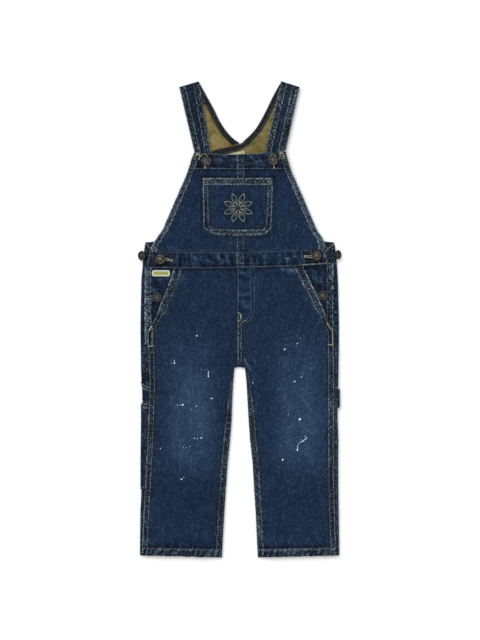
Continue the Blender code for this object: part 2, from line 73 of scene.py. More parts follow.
# Leg sections from the waist down: the silhouette, the front leg's outer edge, the inseam, and
# 1 where a patch lies underneath
Leg = namedtuple("Leg", "y outer seam inner lift", defaults=(0, 0))
legSections = {
    "right": [
        (85.2, 160.5, 108.5), (66, 162.6, 114.5), (46, 163.0, 122.0), (28, 163.4, 129.5), (8, 163.8, 137.0),
        (-6, 164.0, 144.0), (-20, 164.0, 152.5), (-42, 163.8, 152.4), (-50, 163.6, 151.5),
        (-62, 163.4, 150.2), (-78.5, 163.2, 149.8), (-80.5, 163.2, 149.8, 8.7),
        (-102, 163.8, 149.5, 10.6, 1), (-112, 161.4, 149.6, 11.2, 1), (-134, 161.0, 150.0, 12.3, 1),
        (-139, 163.4, 150.2, 12.5, 1), (-165, 163.2, 151.0, 13.3, 1), (-200, 163.6, 152.6, 16.0, 1),
        (-240, 164.0, 154.6, 20.0, 1), (-282, 164.0, 157.0, 23.0, 1), (-322, 164.2, 159.0, 25.5),
        (-352, 164.6, 160.5, 27.3), (legEnd, 165.0, 162.0, 29.5),
    ],
    "left": [
        (85.2, 160.5, 104.5), (66, 162.0, 114.3), (46, 162.8, 124.0), (28, 163.2, 133.0), (8, 163.8, 142.0),
        (-6, 164.0, 145.5), (-20, 164.0, 155.5), (-42, 164.0, 155.8), (-50, 163.8, 155.5),
        (-62, 163.6, 155.8), (-78.5, 163.4, 156.0), (-80.5, 163.4, 156.0, 8.6),
        (-102, 163.0, 156.0, 11.0, 1), (-127, 162.2, 156.0, 12.4, 1), (-160, 161.6, 156.0, 14.2, 1),
        (-200, 163.0, 156.0, 17.0), (-240, 162.8, 156.0, 21.4), (-282, 163.0, 156.4, 23.6),
        (-322, 163.6, 157.5, 26.4), (-352, 164.0, 158.5, 27.6), (legEnd, 164.4, 160.5, 30.0),
    ],
}


def table(kind, rows):
    return [kind(*row) for row in rows]


legRows = {side: table(Leg, rows) for side, rows in legSections.items()}


def clamp(t):
    return min(max(t, 0.0), 1.0)


def smooth(t):
    t = clamp(t)
    return t * t * (3 - 2 * t)


def ease(t):
    # Rises from 0 and is level at 1
    return 1 - (1 - clamp(t)) ** 2


def mix(a, b, t):
    return a + (b - a) * t


def direction(angle):
    return Vector((math.cos(angle), math.sin(angle)))


def bump(t):
    # 1 at 0, gone at 1 on both sides
    return smooth(1 - abs(t))


def hill(value, top, half):
    return bump((value - top) / half)


def climb(value, foot, span):
    # From 0 at foot to 1 a span beyond it
    return smooth((value - foot) / span)


def sink(value, head, span):
    # From 1 a span before head to 0 at head
    return smooth((head - value) / span)


def steps(start, end, pitch):
    count = max(1, round(abs(end - start) / pitch))
    return [mix(start, end, k / count) for k in range(count + 1)]


def read(table, column, y):
    # The column's value on the straight lines between the table's sections
    upper = table[0]
    for lower in table[1:]:
        if y >= lower.y:
            t = clamp((upper.y - y) / (upper.y - lower.y))
            return mix(getattr(upper, column), getattr(lower, column), t)
        upper = lower
    return getattr(upper, column)


@lru_cache(maxsize=None)
def legAt(side, column, y):
    if column == "inner":
        return read(legRows[side], column, y)
    return sum(read(legRows[side], column, y + d) for d in (-3, 0, 3)) / 3


def waistFoot(x):
    return waistFootY + 0.019 * x + 1.0 * (x / 100) ** 2 + 1.6 * (x / 150) ** 4


def waistHead(x):
    return waistHeadY + 0.018 * x + 1.2 * (x / 100) ** 2


def bibTop(x):
    return 272.6 + 0.022 * x + 4.3 * (x / 75) ** 2


def legY(y, x):
    # Top rows follow the waist seam and bottom rows the hem, which falls towards the inseam
    waist = clamp((y - 8) / (waistFootY - 8)) * (waistFoot(x) - waistFootY - gap / 2)
    hem = clamp((shinRow - y) / (shinRow - legEnd)) * 3.4 * (abs(x) - 30) / 133
    return y + waist + hem


def grain(x, y, size, seed):
    # Smooth noise from about -1 to 1, with patches of about that size
    return 1.6 * noise.noise(Vector((x / size, y / size, seed * 7.31)))


# Shading

def srgb(red, green, blue):
    shares = [c / 255 for c in (red, green, blue)]
    return (*(c / 12.92 if c < 0.04 else ((c + 0.055) / 1.055) ** 2.4 for c in shares), 1.0)


class Wire:
    # A socket that takes part in plain arithmetic
    def __init__(self, graph, socket):
        self.graph = graph
        self.socket = socket

    def __add__(self, other):
        return self.graph.math("ADD", self, other)

    def __sub__(self, other):
        return self.graph.math("SUBTRACT", self, other)

    def __rsub__(self, other):
        return self.graph.math("SUBTRACT", other, self)

    def __mul__(self, other):
        return self.graph.math("MULTIPLY", self, other)

    __radd__ = __add__
    __rmul__ = __mul__


class Graph:
    # A node tree, and the ways of adding to it
    def __init__(self, tree):
        self.nodes = tree.nodes
        self.links = tree.links

    def plug(self, socket, value):
        # A plain value is set on the socket itself, and a wire is joined to it
        if isinstance(value, Wire):
            self.links.new(value.socket, socket)
        else:
            socket.default_value = value

    def node(self, kind, settings, sockets, out=0):
        made = self.nodes.new("ShaderNode" + kind)
        for name, value in settings.items():
            setattr(made, name, value)
        for name, value in sockets.items():
            self.plug(made.inputs[name], value)
        return Wire(self, made.outputs[out])

    def outputs(self, kind, sockets, names):
        made = self.node(kind, {}, sockets).socket.node
        return [Wire(self, made.outputs[name]) for name in names]

    def math(self, operation, *values):
        return self.node("Math", {"operation": operation}, dict(enumerate(values)))

    def blend(self, low, high, share):
        # Colours are mixed here, because a Math node would turn them grey
        settings = {"data_type": "RGBA", "clamp_factor": True}
        return self.node("Mix", settings, {0: share, 6: low, 7: high}, out=2)

    def ramp(self, stops, value):
        made = self.node("ValToRGB", {}, {0: value})
        elements = made.socket.node.color_ramp.elements
        while len(elements) < len(stops):
            elements.new(0.5)
        for element, (place, colour) in zip(elements, stops):
            element.position, element.color = place, colour
        return made

    def stretched(self, vector, across, along):
        return self.node("VectorMath", {"operation": "MULTIPLY"}, {0: vector, 1: (across, along, across)})

    def turned(self, vector, degrees):
        sockets = {"Vector": vector, "Angle": math.radians(degrees)}
        return self.node("VectorRotate", {"rotation_type": "Z_AXIS"}, sockets)

    def noise(self, vector, scale, detail=2.0, rough=0.5):
        sockets = {"Vector": vector, "Scale": scale, "Detail": detail, "Roughness": rough}
        return self.node("TexNoise", {}, sockets)

    def above(self, value, low, high):
        # 0 below low and 1 above high
        settings = {"interpolation_type": "SMOOTHSTEP", "clamp": True}
        return self.node("MapRange", settings, {"Value": value, "From Min": low, "From Max": high})

    def attribute(self, name, out=0):
        return self.node("Attribute", {"attribute_name": name}, {}, out)

    def glow(self, kind, strength):
        return self.node(kind, {}, {"Color": (1, 1, 1, 1), "Strength": strength})


class Finish(Graph):
    # One material
    def __init__(self, name, roughness=0.9, metallic=0.0, specular=0.5):
        self.material = bpy.data.materials.new(name)
        self.material.use_nodes = True
        super().__init__(self.material.node_tree)
        self.shader = self.nodes["Principled BSDF"]
        self.set("Roughness", roughness)
        self.set("Metallic", metallic)
        self.set("Specular IOR Level", specular)

    @cached_property
    def place(self):
        return self.node("TexCoord", {}, {}, out=3)

    def set(self, socket, value):
        self.plug(self.shader.inputs[socket], value)

    def relief(self, height, distance, strength):
        sockets = {"Height": height, "Distance": distance, "Strength": strength}
        self.set("Normal", self.node("Bump", {}, sockets))


# Denim: how far the wash has gone runs from near black through indigo to worn grey-blue.
# Seams have their own cast, browner in the dark and greyer in the light.
denimLook = {
    "wash": [
        (0.00, srgb(6, 11, 23)), (0.20, srgb(13, 24, 43)), (0.42, srgb(26, 44, 68)),
        (0.60, srgb(46, 68, 94)), (0.80, srgb(86, 108, 128)), (1.00, srgb(150, 166, 174)),
    ],
    "cast": [
        (0.00, srgb(8, 8, 13)), (0.22, srgb(18, 21, 30)), (0.42, srgb(36, 47, 60)),
        (0.60, srgb(64, 79, 90)), (0.80, srgb(112, 127, 136)), (1.00, srgb(166, 178, 182)),
    ],
    "inside": [(0.32, srgb(98, 88, 46)), (0.50, srgb(132, 120, 72)), (0.68, srgb(156, 145, 98))],
    "rust": srgb(140, 104, 58), "blotch": srgb(148, 126, 104), "deep": srgb(40, 33, 20),
    # Grain: how often a thread comes across and along, its lean and its depth
    "grain": [(600, 330, 0, 0.42), (440, 30, 3, 0.18)],
    "strokes": [(600, 120, 27, 0.12), (640, 110, -33, 0.11), (700, 60, 4, 0.10)],
    "speck": (330, 480, 0.50),
    "hair": 0.09,
    "twillScale": 560,
}


def denimFinish():
    look = denimLook
    f = Finish("denim", roughness=0.88, specular=0.08)
    tone, cast, inside = f.outputs("SeparateXYZ", {0: f.attribute("wash", 1)}, (0, 1, 2))
    weave, place = f.node("UVMap", {"uv_map": "weave"}, {}), f.place
    mottle = f.noise(place, 48.0, 3.0, 0.55)
    twill = f.node(
        "TexWave", {"bands_direction": "DIAGONAL"},
        {"Vector": weave, "Scale": look["twillScale"], "Distortion": 0.6, "Detail": 0.0},
    )
    level = tone - 0.05 + (mottle - 0.5) * 0.06 + (twill - 0.5) * 0.03
    layers = []
    calm = f.math("MAXIMUM", 2.2 - tone * 2.5, 0.4)
    for across, along, lean, depth in look["grain"] + look["strokes"]:
        layers.append(f.noise(f.stretched(f.turned(weave, lean), across, along), 1.0, 2.0, 0.6))
        sparse = (across, along, lean, depth) in look["strokes"]
        level = level + (f.above(layers[-1], 0.52, 0.70) if sparse else layers[-1] - 0.5) * calm * depth
    # Seams are speckled, and fine pale hairlines wander over the whole cloth
    across, along, depth = look["speck"]
    speck = f.above(f.noise(f.stretched(weave, across, along), 1.0, 2.0, 0.6), 0.42, 0.58)
    level = level + (speck - 0.5) * cast * depth
    hair = 1 - f.above(f.math("ABSOLUTE", f.noise(place, 110.0, 3.0, 0.6) - 0.5), 0.0, 0.045)
    level = level + hair * look["hair"]
    cloth = f.blend(f.ramp(look["wash"], level), f.ramp(look["cast"], level), cast * (mottle + 0.5))
    worn = f.noise(place, 60.0, 5.0, 0.68)
    olive = f.ramp(look["inside"], worn + (layers[0] - 0.5) * 0.3)
    olive = f.blend(olive, look["rust"], f.above(f.noise(place, 24.0, 2.0), 0.50, 0.70) * 0.5)
    olive = f.blend(olive, look["blotch"], f.above(mottle, 0.54, 0.70) * 0.35)
    olive = f.blend(olive, look["deep"], 0.42 - tone)
    f.set("Base Color", f.blend(cloth, olive, inside))
    f.set("Roughness", 0.80 + layers[0] * 0.18)
    f.relief(twill * 0.5 + layers[0] * 0.8 + speck * cast, 0.00045, 0.6)
    return f.material


def threadFinish():
    # Each stitch has its own dye, a little uneven along the thread
    f = Finish("topstitch_thread", roughness=0.7, specular=0.15)
    uneven = f.noise(f.place, 900.0, 2.0)
    f.set("Base Color", f.blend(f.attribute("dye"), srgb(52, 58, 62), uneven * 0.4))
    f.relief(f.noise(f.place, 2600.0, 1.0), 0.0002, 0.5)
    return f.material


def labelFinish():
    # Woven tape: tone is the pale ground, and cast the coloured field
    f = Finish("woven_label", roughness=0.8, specular=0.1)
    tone, cast = f.outputs("SeparateXYZ", {0: f.attribute("wash", 1)}, (0, 1))
    weft = f.noise(f.stretched(f.place, 700, 2600), 1.0, 1.0)
    ground = f.blend(srgb(86, 92, 76), srgb(226, 228, 214), tone + (weft - 0.5) * 0.3)
    field = f.blend(srgb(126, 128, 72), srgb(186, 186, 118), weft + (f.noise(f.place, 600.0) - 0.5) * 0.8)
    f.set("Base Color", f.blend(ground, field, cast))
    f.relief(weft, 0.0003, 0.5)
    return f.material


def brassFinish():
    # Dark antique brass, brighter where it is rubbed
    f = Finish("antique_brass", roughness=0.42, metallic=0.8, specular=0.3)
    patina = f.noise(f.place, 300.0, 4.0, 0.65)
    f.set("Base Color", f.blend(f.attribute("dye"), srgb(30, 30, 28), f.above(patina, 0.44, 0.60) * 0.8))
    f.set("Roughness", 0.36 + patina * 0.3)
    f.relief(patina, 0.0002, 0.4)
    return f.material


def paintFinish():
    f = Finish("spattered_paint", roughness=0.45)
    chalk = f.above(f.noise(f.place, 800.0, 2.0), 0.35, 0.6)
    f.set("Base Color", f.blend(srgb(186, 212, 240), srgb(222, 238, 255), chalk))
    return f.material


finishes = {
    "denim": denimFinish(), "thread": threadFinish(), "label": labelFinish(),
    "brass": brassFinish(), "paint": paintFinish(),
}
print("finishes ready")

# Sewing: every piece of cloth is a grid that is laid in place and grown into a closed wall
surfaces = {}
Spot = namedtuple("Spot", "inner outer weave tone cast lining face", defaults=(1, 0))


def meshFrom(name, bm):
    mesh = bpy.data.meshes.new(name)
    bm.to_mesh(mesh)
    bm.free()
    return mesh


def put(name, data):
    made = bpy.data.objects.new(name, data)
    bpy.context.scene.collection.objects.link(made)
    return made


def addPiece(name, bm, finish, replaced=(), sharp=60):
    mesh = meshFrom(name, bm)
    mesh.materials.append(finishes[finish])
    mesh.shade_smooth()
    mesh.set_sharp_from_angle(angle=math.radians(sharp))
    piece = put(name, mesh)
    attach(piece, "root")
    if replaced:
        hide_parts(*replaced)
    return piece


def outward(bm):
    bmesh.ops.recalc_face_normals(bm, faces=bm.faces)
    if bm.calc_volume(signed=True) < 0:
        bmesh.ops.reverse_faces(bm, faces=bm.faces)


def sewCloth(node, columns, rows, place, finish="denim"):
    # place gives the Spot at a column and a row: its points on the wrong and the right side
    bm = bmesh.new()
    index = bm.verts.layers.int.new("spot")
    wash = bm.verts.layers.float_vector.new("wash")
    weave = bm.loops.layers.uv.new("weave")
    across, along = len(columns) - 1, len(rows) - 1
    bmesh.ops.create_grid(bm, x_segments=across, y_segments=along, size=0.5)
    spots = []
    for vert in bm.verts:
        column = columns[round((vert.co.x + 0.5) * across)]
        row = rows[round((vert.co.y + 0.5) * along)]
        vert[index] = len(spots)
        spots.append(place(column, row))
    grown = bmesh.ops.extrude_face_region(bm, geom=bm.faces[:])["geom"]
    rightSide = {part for part in grown if isinstance(part, bmesh.types.BMVert)}
    for vert in bm.verts:
        spot, right = spots[vert[index]], vert in rightSide
        vert.co = (spot.outer if right else spot.inner) * mm
        vert[wash] = (spot.tone, spot.cast, spot.face if right else spot.lining)
    for face in bm.faces:
        for loop in face.loops:
            loop[weave].uv = Vector(spots[loop.vert[index]].weave) * mm
    outward(bm)
    surfaces[node] = BVHTree.FromBMesh(bm)
    addPiece(node + "_cloth", bm, finish, [node])


def level(x, y, under, wall, tone, cast=0.0, weave=None, lining=1):
    # A spot of cloth that lies flat with its right side up. lining is 0 where the cloth is double.
    return Spot(Vector((x, y, under)), Vector((x, y, under + wall)), weave or (x, y), tone, cast, lining)


def bothFaces(sign, inside, outside, rowAt):
    return [Vector((sign * d, rowAt(sign * d), z)) for d, z in (inside, outside)]


def added(start, extra, share=1):
    return [a + b * share for a, b in zip(start, extra)]


def closeEnds(near, pitch):
    # Shares from 0 to 1 that lie close together at both ends
    return near[:-1] + steps(near[-1], 1 - near[-1], pitch) + [1 - share for share in reversed(near[:-1])]


def rope(s, d, seed, pitch=6.0):
    # Near black and pale patches that take turns along a seam, about -1 to 1
    wave = math.sin(2 * math.pi * (s + 0.5 * d) / pitch + 4.5 * grain(s, d * 0.5, 13, seed))
    rough = 0.40 * wave + 0.40 * grain(s, d, 4.2, seed + 3) + 0.50 * grain(s, d, 2.3, seed + 4)
    return math.tanh(1.4 * rough + 0.5 * grain(s, d, 24, seed + 5))


def seamLook(s, d, width, seed, strength=0.20, base=-0.005, edge=0.38):
    # (tone, cast, height) of a felled or hemmed band, s along it and d in from its worn edge
    inside = sink(d, width + 0.7, 1.4)
    beyond = (1 - inside) * hill(d, width, 8)
    roped = rope(s, d, seed) + 0.3 * grain(s, 0, 46, seed + 9)
    worn = edge * bump(d / 1.6) * (1 + 0.8 * grain(s, 0, 4, seed + 1))
    worn += 0.6 * edge * hill(d - width, -0.6, 1.3) * (1 + 0.8 * grain(s, 9, 5, seed + 1))
    # Painted shade: a dark line at the foot of the raised band, just past its inner edge, and a fainter one
    # about 3 mm in from its worn edge
    foot = hill(d - width, 1.2, 1.9) + 0.6 * hill(d, 2.9, 1.3)
    tone = strength * roped * (inside + 0.55 * beyond) + (base - 0.04) * inside + worn - 0.13 * foot
    return tone, 0.8 * inside + 0.4 * beyond, 0.18 * roped * inside


def hemLook(x, up, seed):
    # (tone, height) of a roped hem: leaning stripes of uneven width, with a rubbed line at its top
    lean = x - 0.42 * up
    wave = math.sin(2 * math.pi * lean / 8.5 + 4.2 * grain(x, up * 0.3, 19, seed))
    stripe = 0.75 * wave + 0.65 * grain(lean, up * 0.22, 2.9, seed + 1) + 0.35 * grain(x, up, 3.5, seed + 2)
    stripe = math.tanh(1.2 * stripe + 0.5 * grain(x, 0, 26, seed + 3))
    rubbed = 0.20 * hill(up, 11.0, 2.0) + 0.12 * bump(up / 2.4)
    return 0.24 * stripe - 0.03 + rubbed * (1 + 0.8 * grain(x, up, 4, seed + 4)), 0.2 * stripe


def rounded(d, wall):
    # Rolls a cut or folded edge over, d in from the edge
    return wall * (0.45 + 0.55 * math.sqrt(clamp(1 - (1 - clamp(d / 1.3)) ** 2)))


def nearEdge(width):
    # Columns close together over a seam band and wider apart inside
    near = [0, 0.35, 0.8, 1.5, 2.4, 3.4, 4.4, 5.4, 6.4, 7.4, 8.3, 9.1, 9.9, 10.8, 12]
    return near + steps(14, width, 2.2) if width > 14 else [d for d in near if d <= width]


def zones(middle):
    columns = [("inner", d) for d in nearEdge(edgeZone)]
    columns += [("middle", t) for t in steps(0, 1, 1 / middle)[1:-1]]
    return columns + [("outer", d) for d in reversed(nearEdge(edgeZone))]


def acrossAt(column, width):
    zone, amount = column
    if zone == "middle":
        return mix(edgeZone, width - edgeZone, amount)
    return amount if zone == "inner" else width - amount


# Folds: the two ends of a soft trough, half its width, and its depth
creases = {
    "right": [
        (-18, -58, -78, -26, 10, 0.9), (-24, -92, -92, -74, 11, 0.7), (-34, -146, -112, -126, 15, 0.6),
        (-40, -222, -124, -206, 16, 0.6), (-60, -300, -128, -290, 18, 0.4),
    ],
    "left": [
        (18, -56, 84, -18, 10, 0.9), (26, -98, 98, -84, 12, 0.7), (44, -138, 126, -118, 15, 0.6),
        (42, -230, 132, -212, 17, 0.6), (48, -306, 112, -296, 18, 0.4),
    ],
}
# Ridges too small for the solid, and how far they stand up
rumples = {
    "right": [
        (-12, -66, -44, -58, 5, 0.5), (-97, 80, -88, 58, 3.5, 0.5), (-14, -100, -46, -112, 5, 0.5),
        (-132, -96, -108, -112, 5, 0.45), (-36, -178, -62, -186, 6, 0.4), (-128, -186, -100, -194, 6, 0.45),
        (-46, -262, -74, -252, 7, 0.4), (-140, -258, -112, -270, 6, 0.4), (-60, -344, -50, -372, 5, 0.5),
        (-128, -352, -136, -374, 5, 0.45), (-86, -356, -80, -374, 4, 0.35), (-8, 40, -34, 28, 6, 0.35),
    ],
    "left": [
        (12, -68, 40, -66, 5, 0.6), (14, -88, 34, -108, 5, 0.5), (92, -118, 118, -150, 4, 0.5),
        (20, -132, 44, -146, 6, 0.45), (150, -178, 124, -190, 6, 0.4), (30, -210, 60, -222, 6, 0.4),
        (146, -262, 118, -252, 7, 0.4), (40, -268, 70, -280, 7, 0.4), (58, -346, 48, -372, 5, 0.5),
        (128, -350, 134, -372, 5, 0.45), (92, -354, 96, -374, 4, 0.35), (62, 36, 88, 22, 6, 0.35),
    ],
}
# Pale rubbed lines: half is the width and depth how far the wash goes
scuffs = {
    "right": [
        (-97, 79, -88, 60, 1.6, 0.14), (-10, 66, -6, 48, 1.6, 0.10), (-88, -128, -74, -118, 2.0, 0.08),
        (-60, -196, -46, -206, 1.6, 0.08), (-120, -142, -104, -126, 1.6, 0.07),
        (-137, -228, -130, -238, 1.4, 0.10), (-56, -358, -49, -374, 1.6, 0.13),
        (-134, -356, -140, -374, 1.5, 0.12), (-108, -364, -112, -376, 1.4, 0.08),
        (-24, -60, -40, -50, 1.5, 0.06), (-102, 80, -70, 80, 7, -0.06),
    ],
    "left": [
        (7.5, -66, 18, -84, 2.3, 0.42), (21, -64, 26, -70, 2.0, 0.24), (27, -84, 24, -97, 2.0, 0.15),
        (24, -97, 21, -105, 2.0, 0.20), (21, -105, 30, -113, 1.9, 0.18), (88, -112, 120, -152, 1.3, 0.13),
        (26, -150, 36, -160, 1.5, 0.07), (34, -182, 46, -200, 1.5, 0.09), (60, -355, 52, -374, 1.7, 0.13),
        (84, -362, 78, -376, 1.5, 0.10), (124, -352, 132, -372, 1.6, 0.12),
        (140, -170, 150, -186, 1.5, 0.08), (72, 83, 90, 77, 8, 0.27), (44, 81, 66, 80, 5, 0.09),
    ],
}


def foldsAt(folds, x, y, reach=1.6):
    total = 0.0
    for x0, y0, x1, y1, half, depth in folds:
        wide = half * reach
        dx, dy = x1 - x0, y1 - y0
        if abs(x - x0 - dx / 2) > abs(dx) / 2 + wide or abs(y - y0 - dy / 2) > abs(dy) / 2 + wide:
            continue
        t = clamp(((x - x0) * dx + (y - y0) * dy) / (dx * dx + dy * dy))
        away = math.hypot(x - x0 - dx * t, y - y0 - dy * t)
        total += depth * smooth(1 - away / wide)
    return total


# Front legs
legLook = {
    "right": {"inner": (18, 68), "outer": (146, 94), "fade": 0.205, "tone": 0.375, "seed": 1},
    "left": {"inner": (38, 84), "outer": (176, 108), "fade": 0.19, "tone": 0.386, "seed": 2},
}
kneeTop, kneeFoot = (30, -136), (-276, -210)
legRowsY = steps(waistFootY, -78.5, 2.2) + steps(-80.5, -376.8, 2.2) + steps(-378.0, legEnd, 1.3)


def innerEdge(side, y):
    if y > crotchY:
        return flyEdge - (gap if side == "right" else 0)
    return sideSign[side] * legAt(side, "inner", y)


def fromInseam(side, x, y):
    if y < crotchY:
        return abs(x) - legAt(side, "inner", y)
    return math.hypot(max(abs(x) - crotchHalf, 0), y - crotchY)


def frontUnder(side, x, y):
    # Underside of a front leg: low at the inseam and crotch, level inside, lower at the side seam
    inseam = fromInseam(side, x, y)
    outseam = legAt(side, "seam", y) - abs(x)
    sideDrop = (frontFoot - 3.4) * sink(y, -50, 14)
    crown = 0.4 * ease(min(inseam, outseam) / 60)
    drop = (frontFoot - second) * (1 - ease(inseam / 32)) + sideDrop * (1 - ease(outseam / 26))
    return frontFoot + crown - drop - foldsAt(creases[side], x, y) * ease(inseam / 32)


def legWash(side, x, y):
    # The wash of a leg away from its seams: a broad faded knee, and rubbed lines
    look = legLook[side]
    seed, fade, away = look["seed"], 1, abs(x)
    for value, (start, full) in ((away, look["inner"]), (away, look["outer"]), (y, kneeTop), (y, kneeFoot)):
        fade *= climb(value, start, full - start)
    ragged = 1 + 0.14 * grain(x, y * 0.6, 14, seed) + 0.10 * grain(x, y * 0.5, 40, seed + 5)
    tone = look["tone"] + look["fade"] * fade * ragged
    tone += 0.020 * grain(x, y, 34, seed) + 0.018 * grain(x, y, 12, seed + 1)
    tone += 0.02 * grain(x, y * 0.2, 3.2, seed + 2)
    # The cloth gathers into the waistband
    tone += climb(y, 58, 24) * (0.10 * grain(x, y * 0.3, 4, seed + 6) - 0.02)
    tone += foldsAt(scuffs[side], x, y, 1.0) - 0.02 * foldsAt(creases[side], x, y)
    return tone + 0.05 * foldsAt(rumples[side], x, y, 1.0)


def flyWash(x, y):
    # Double cloth behind the mock fly, rubbed in level ripples
    inside = climb(x, flyEdge, 2) * sink(x, 24.4, 3) * climb(y, -6, 8)
    ripple = math.sin(y / 2.9 + 2.0 * grain(x, y, 15, 4)) * sink(x, 18.5, 3)
    ripple *= 0.7 + 0.6 * grain(x, y, 12, 5)
    return inside * (0.04 + 0.15 * ripple), 0.22 * inside * (1 + 0.8 * ripple)


def inseamBand(side, y):
    # The seam rolls under at the crotch, so less of its band shows there
    narrow, start, fall = (3.6, -98, 90) if side == "right" else (5.0, -84, 80)
    return mix(narrow, 10.4, sink(y, start, fall))


def outerBand(y):
    # The pocket mouth's hem is deeper than the side seam below it
    return mix(seamBand, 12.6, climb(y, 4, 10))


def frontLeg(side):
    sign, seed, left = sideSign[side], legLook[side]["seed"], side == "left"

    def place(column, y):
        inner, outer = innerEdge(side, y), sign * legAt(side, "seam", y)
        width = abs(outer - inner)
        d = acrossAt(column, width)
        out = width - d
        x = inner + sign * d
        free = ease(min(d, out) / 14)
        rise = free * (0.46 * grain(x, y, 36, seed) + 0.15 * grain(x, y, 12, seed + 4))
        rise += 1.4 * free * foldsAt(rumples[side], x, y)
        hemmed = sink(y, legHem + 0.8, 1.6)
        seamed = 1 - hemmed
        # Side seam and pocket mouth
        band, mouth = outerBand(y), climb(y, 4, 10)
        worn = out - 1.6 * climb(y, 40, 16) * left
        shade, green, height = seamLook(y, worn, band, seed + 10, 0.20, -0.005, 0.38 + 0.12 * mouth)
        shade += mouth * (0.18 * hill(worn, 2.0, 2.3) - 0.13 * hill(out - band, -1.2, 2.2))
        shade += mouth * 0.19 * hill(out - band, 1.4, 3.4)
        shade -= 0.14 * sink(y, 10, 10) * climb(y, -30, 12) * hill(out, 8.6, 2.4)
        tone, cast, rise = added((legWash(side, x, y), 0.0, rise), (shade, green, height), seamed)
        wall = clothWall + ridge * sink(out, band + 0.5, 1.2) * seamed
        tone -= 0.15 * sink(y, 12, 10) * climb(y, -49, 8) * sink(out, band - 0.5, 2)
        # Inseam, or the fly's edge above the crotch
        wide, grown = 6.6, sink(y, 6, 10) * left
        if y < crotchY:
            wide, grown = inseamBand(side, y), seamed * mix(0.15, 1, sink(y, crotchY - 4, 44))
        if grown:
            tone, cast, rise = added((tone, cast, rise), seamLook(y, d, wide, seed + 20), grown)
            wall += ridge * sink(d, wide + 0.5, 1.2) * grown
        if left and y > crotchY:
            shade, height = flyWash(x, y)
            tone, rise = tone + shade, rise + height
            folded = 0.24 * hill(d, 0.4, 1.4) * (1 + 0.6 * grain(y, 0, 6, 9)) - 0.14 * hill(d, 3.1, 2)
            tone += folded * climb(y, -4, 8)
        # Hem, roped across its whole depth, and the slanted puckers that it draws above it
        shade, height = hemLook(x, y - legEnd, seed + 30)
        pucker = hill(y - legHem, 3, 15) * (y > legHem)
        tone += shade * hemmed + 0.18 * pucker * grain(x + y * 0.6, y * 0.15, 3.6, seed + 31)
        # Painted shadow in dark lines along the top of the hem and just above it
        tone -= 0.12 * hill(y - legHem, 1.2, 4.5) + 0.14 * hill(y - legHem, -0.2, 1.5)
        cast = mix(cast, 0.7, hemmed)
        wall += (hemWall - clothWall) * hemmed
        rise = (rise + height * hemmed) * 0.5
        # Painted shadow on the cloth under the waistband, darkest in a line just below it
        tone -= 0.12 * climb(y - waistFootY, -5, 5) + 0.13 * climb(y - waistFootY, -3.4, 2.4)
        wall = min(rounded(min(d, out), wall), rounded(y - legEnd, wall))
        wave = 0.45 * grain(x, 0, 5, seed + 33) * hemmed
        under = frontUnder(side, x, y) + rise
        return level(x, legY(y, x) + wave, under, wall + max(rise, -0.25), tone, cast)

    sewCloth("front_leg_" + side, zones(56), legRowsY, place)


# Back legs: on the floor, round the outer edge and onto the front as far as the side seam
backLook = {"seatFade": 0.06, "floorPitch": 3.4}


def turned(angle, middle, deep, low, high, wall):
    # (distance from the middle of the garment, height) on the outer and the inner face of a turn
    centre, half = (low + high) / 2, (high - low) / 2
    cos, sin = math.cos(math.radians(angle)), math.sin(math.radians(angle))
    outside = (middle + deep * cos, centre + half * sin)
    inside = (middle + (deep - wall) * cos, centre + (half - wall) * sin)
    return outside, inside


def wrapColumns(floorPitch, width, top):
    columns = [("floor", t) for t in steps(0, 1, floorPitch / width)[:-1]]
    columns += [("turn", a) for a in steps(-90, 90, 15)]
    return columns + [("top", t) for t in steps(0, 1, 1 / top)[1:]]


def backLeg(side):
    sign, seed, right = sideSign[side], 5 if side == "right" else 6, side == "right"

    def place(column, y):
        zone, amount = column
        low = patchLift * smooth(legAt(side, "lift", y))
        middle = legAt(side, "outer", y) - low * right - wrapDeep
        under = sink(y, placketEnd, 8)
        high = mix(second + clothWall, wrapTop, under)
        tone = 0.38 + 0.02 * grain(sign * y, y, 30, seed)
        if zone == "floor":
            inner = legAt(side, "inner", y) if y < crotchY else gap / 2
            d = s = mix(inner, middle, amount)
            rest = low * climb(d, 62, 18)
            outside, inside = (d, rest), (d, rest + clothWall)
            seat = math.exp(-(((d - 75) / 45) ** 2) - ((y + 20) / 70) ** 2)
            tone += backLook["seatFade"] * seat + 0.02 * grain(sign * d, y, 20, seed)
            tone, cast = added((tone, 0.0), seamLook(y, d - inner, seamBand, seed + 2))
        elif zone == "turn":
            s = mix(middle, middle + 8, (amount + 90) / 180)
            outside, inside = turned(amount, middle, wrapDeep, low, high, clothWall)
            tone += 0.12 * bump(amount / 60) * (1 + 1.2 * grain(y, 0, 5, seed)) + 0.05 * rope(y, 0, seed)
            cast = 0.6 * bump(amount / 100)
        else:
            end = mix(underlapEnd, legAt(side, "seam", y) + gap, under)
            d, s, cast = mix(middle, end, amount), middle + 8 + amount * 12, 0.6
            outside, inside = (d, high), (d, high - clothWall)
            near = d - end
            # Painted shadow where this cloth runs under the cloth that lies on it
            tone += 0.16 * rope(y, near, seed + 4, 8) - 0.14 * bump(near / 3)
            tone += 0.14 * hill(near, 3, 3) * (1 + 1.4 * grain(y, 0, 9, seed))
            # Painted shadow just past the pocket facing's outer edge, above the placket's foot
            tone -= 0.20 * hill(d - facingLook[side]["edge"], 1.2, 1.8) * (1 - under)
        # Shadow above the slanted top of the utility pocket
        tone -= 0.16 * hill(y, -98, 16) * (right and zone != "floor")
        if y < legHem + 4:
            hemmed = sink(y, legHem + 0.8, 1.6)
            along = (s if zone == "floor" else y) * 0.8
            shade = seamLook(along, y - legEnd, legHem - legEnd, seed + 30, 0.26)[0]
            tone, cast = tone + shade * hemmed, mix(cast, 0.45, hemmed)
        points = bothFaces(sign, inside, outside, lambda x: legY(y, x))
        return Spot(*points, (sign * s, y), tone, cast)

    sewCloth("back_leg_" + side, wrapColumns(backLook["floorPitch"], 150, 12), legRowsY, place)


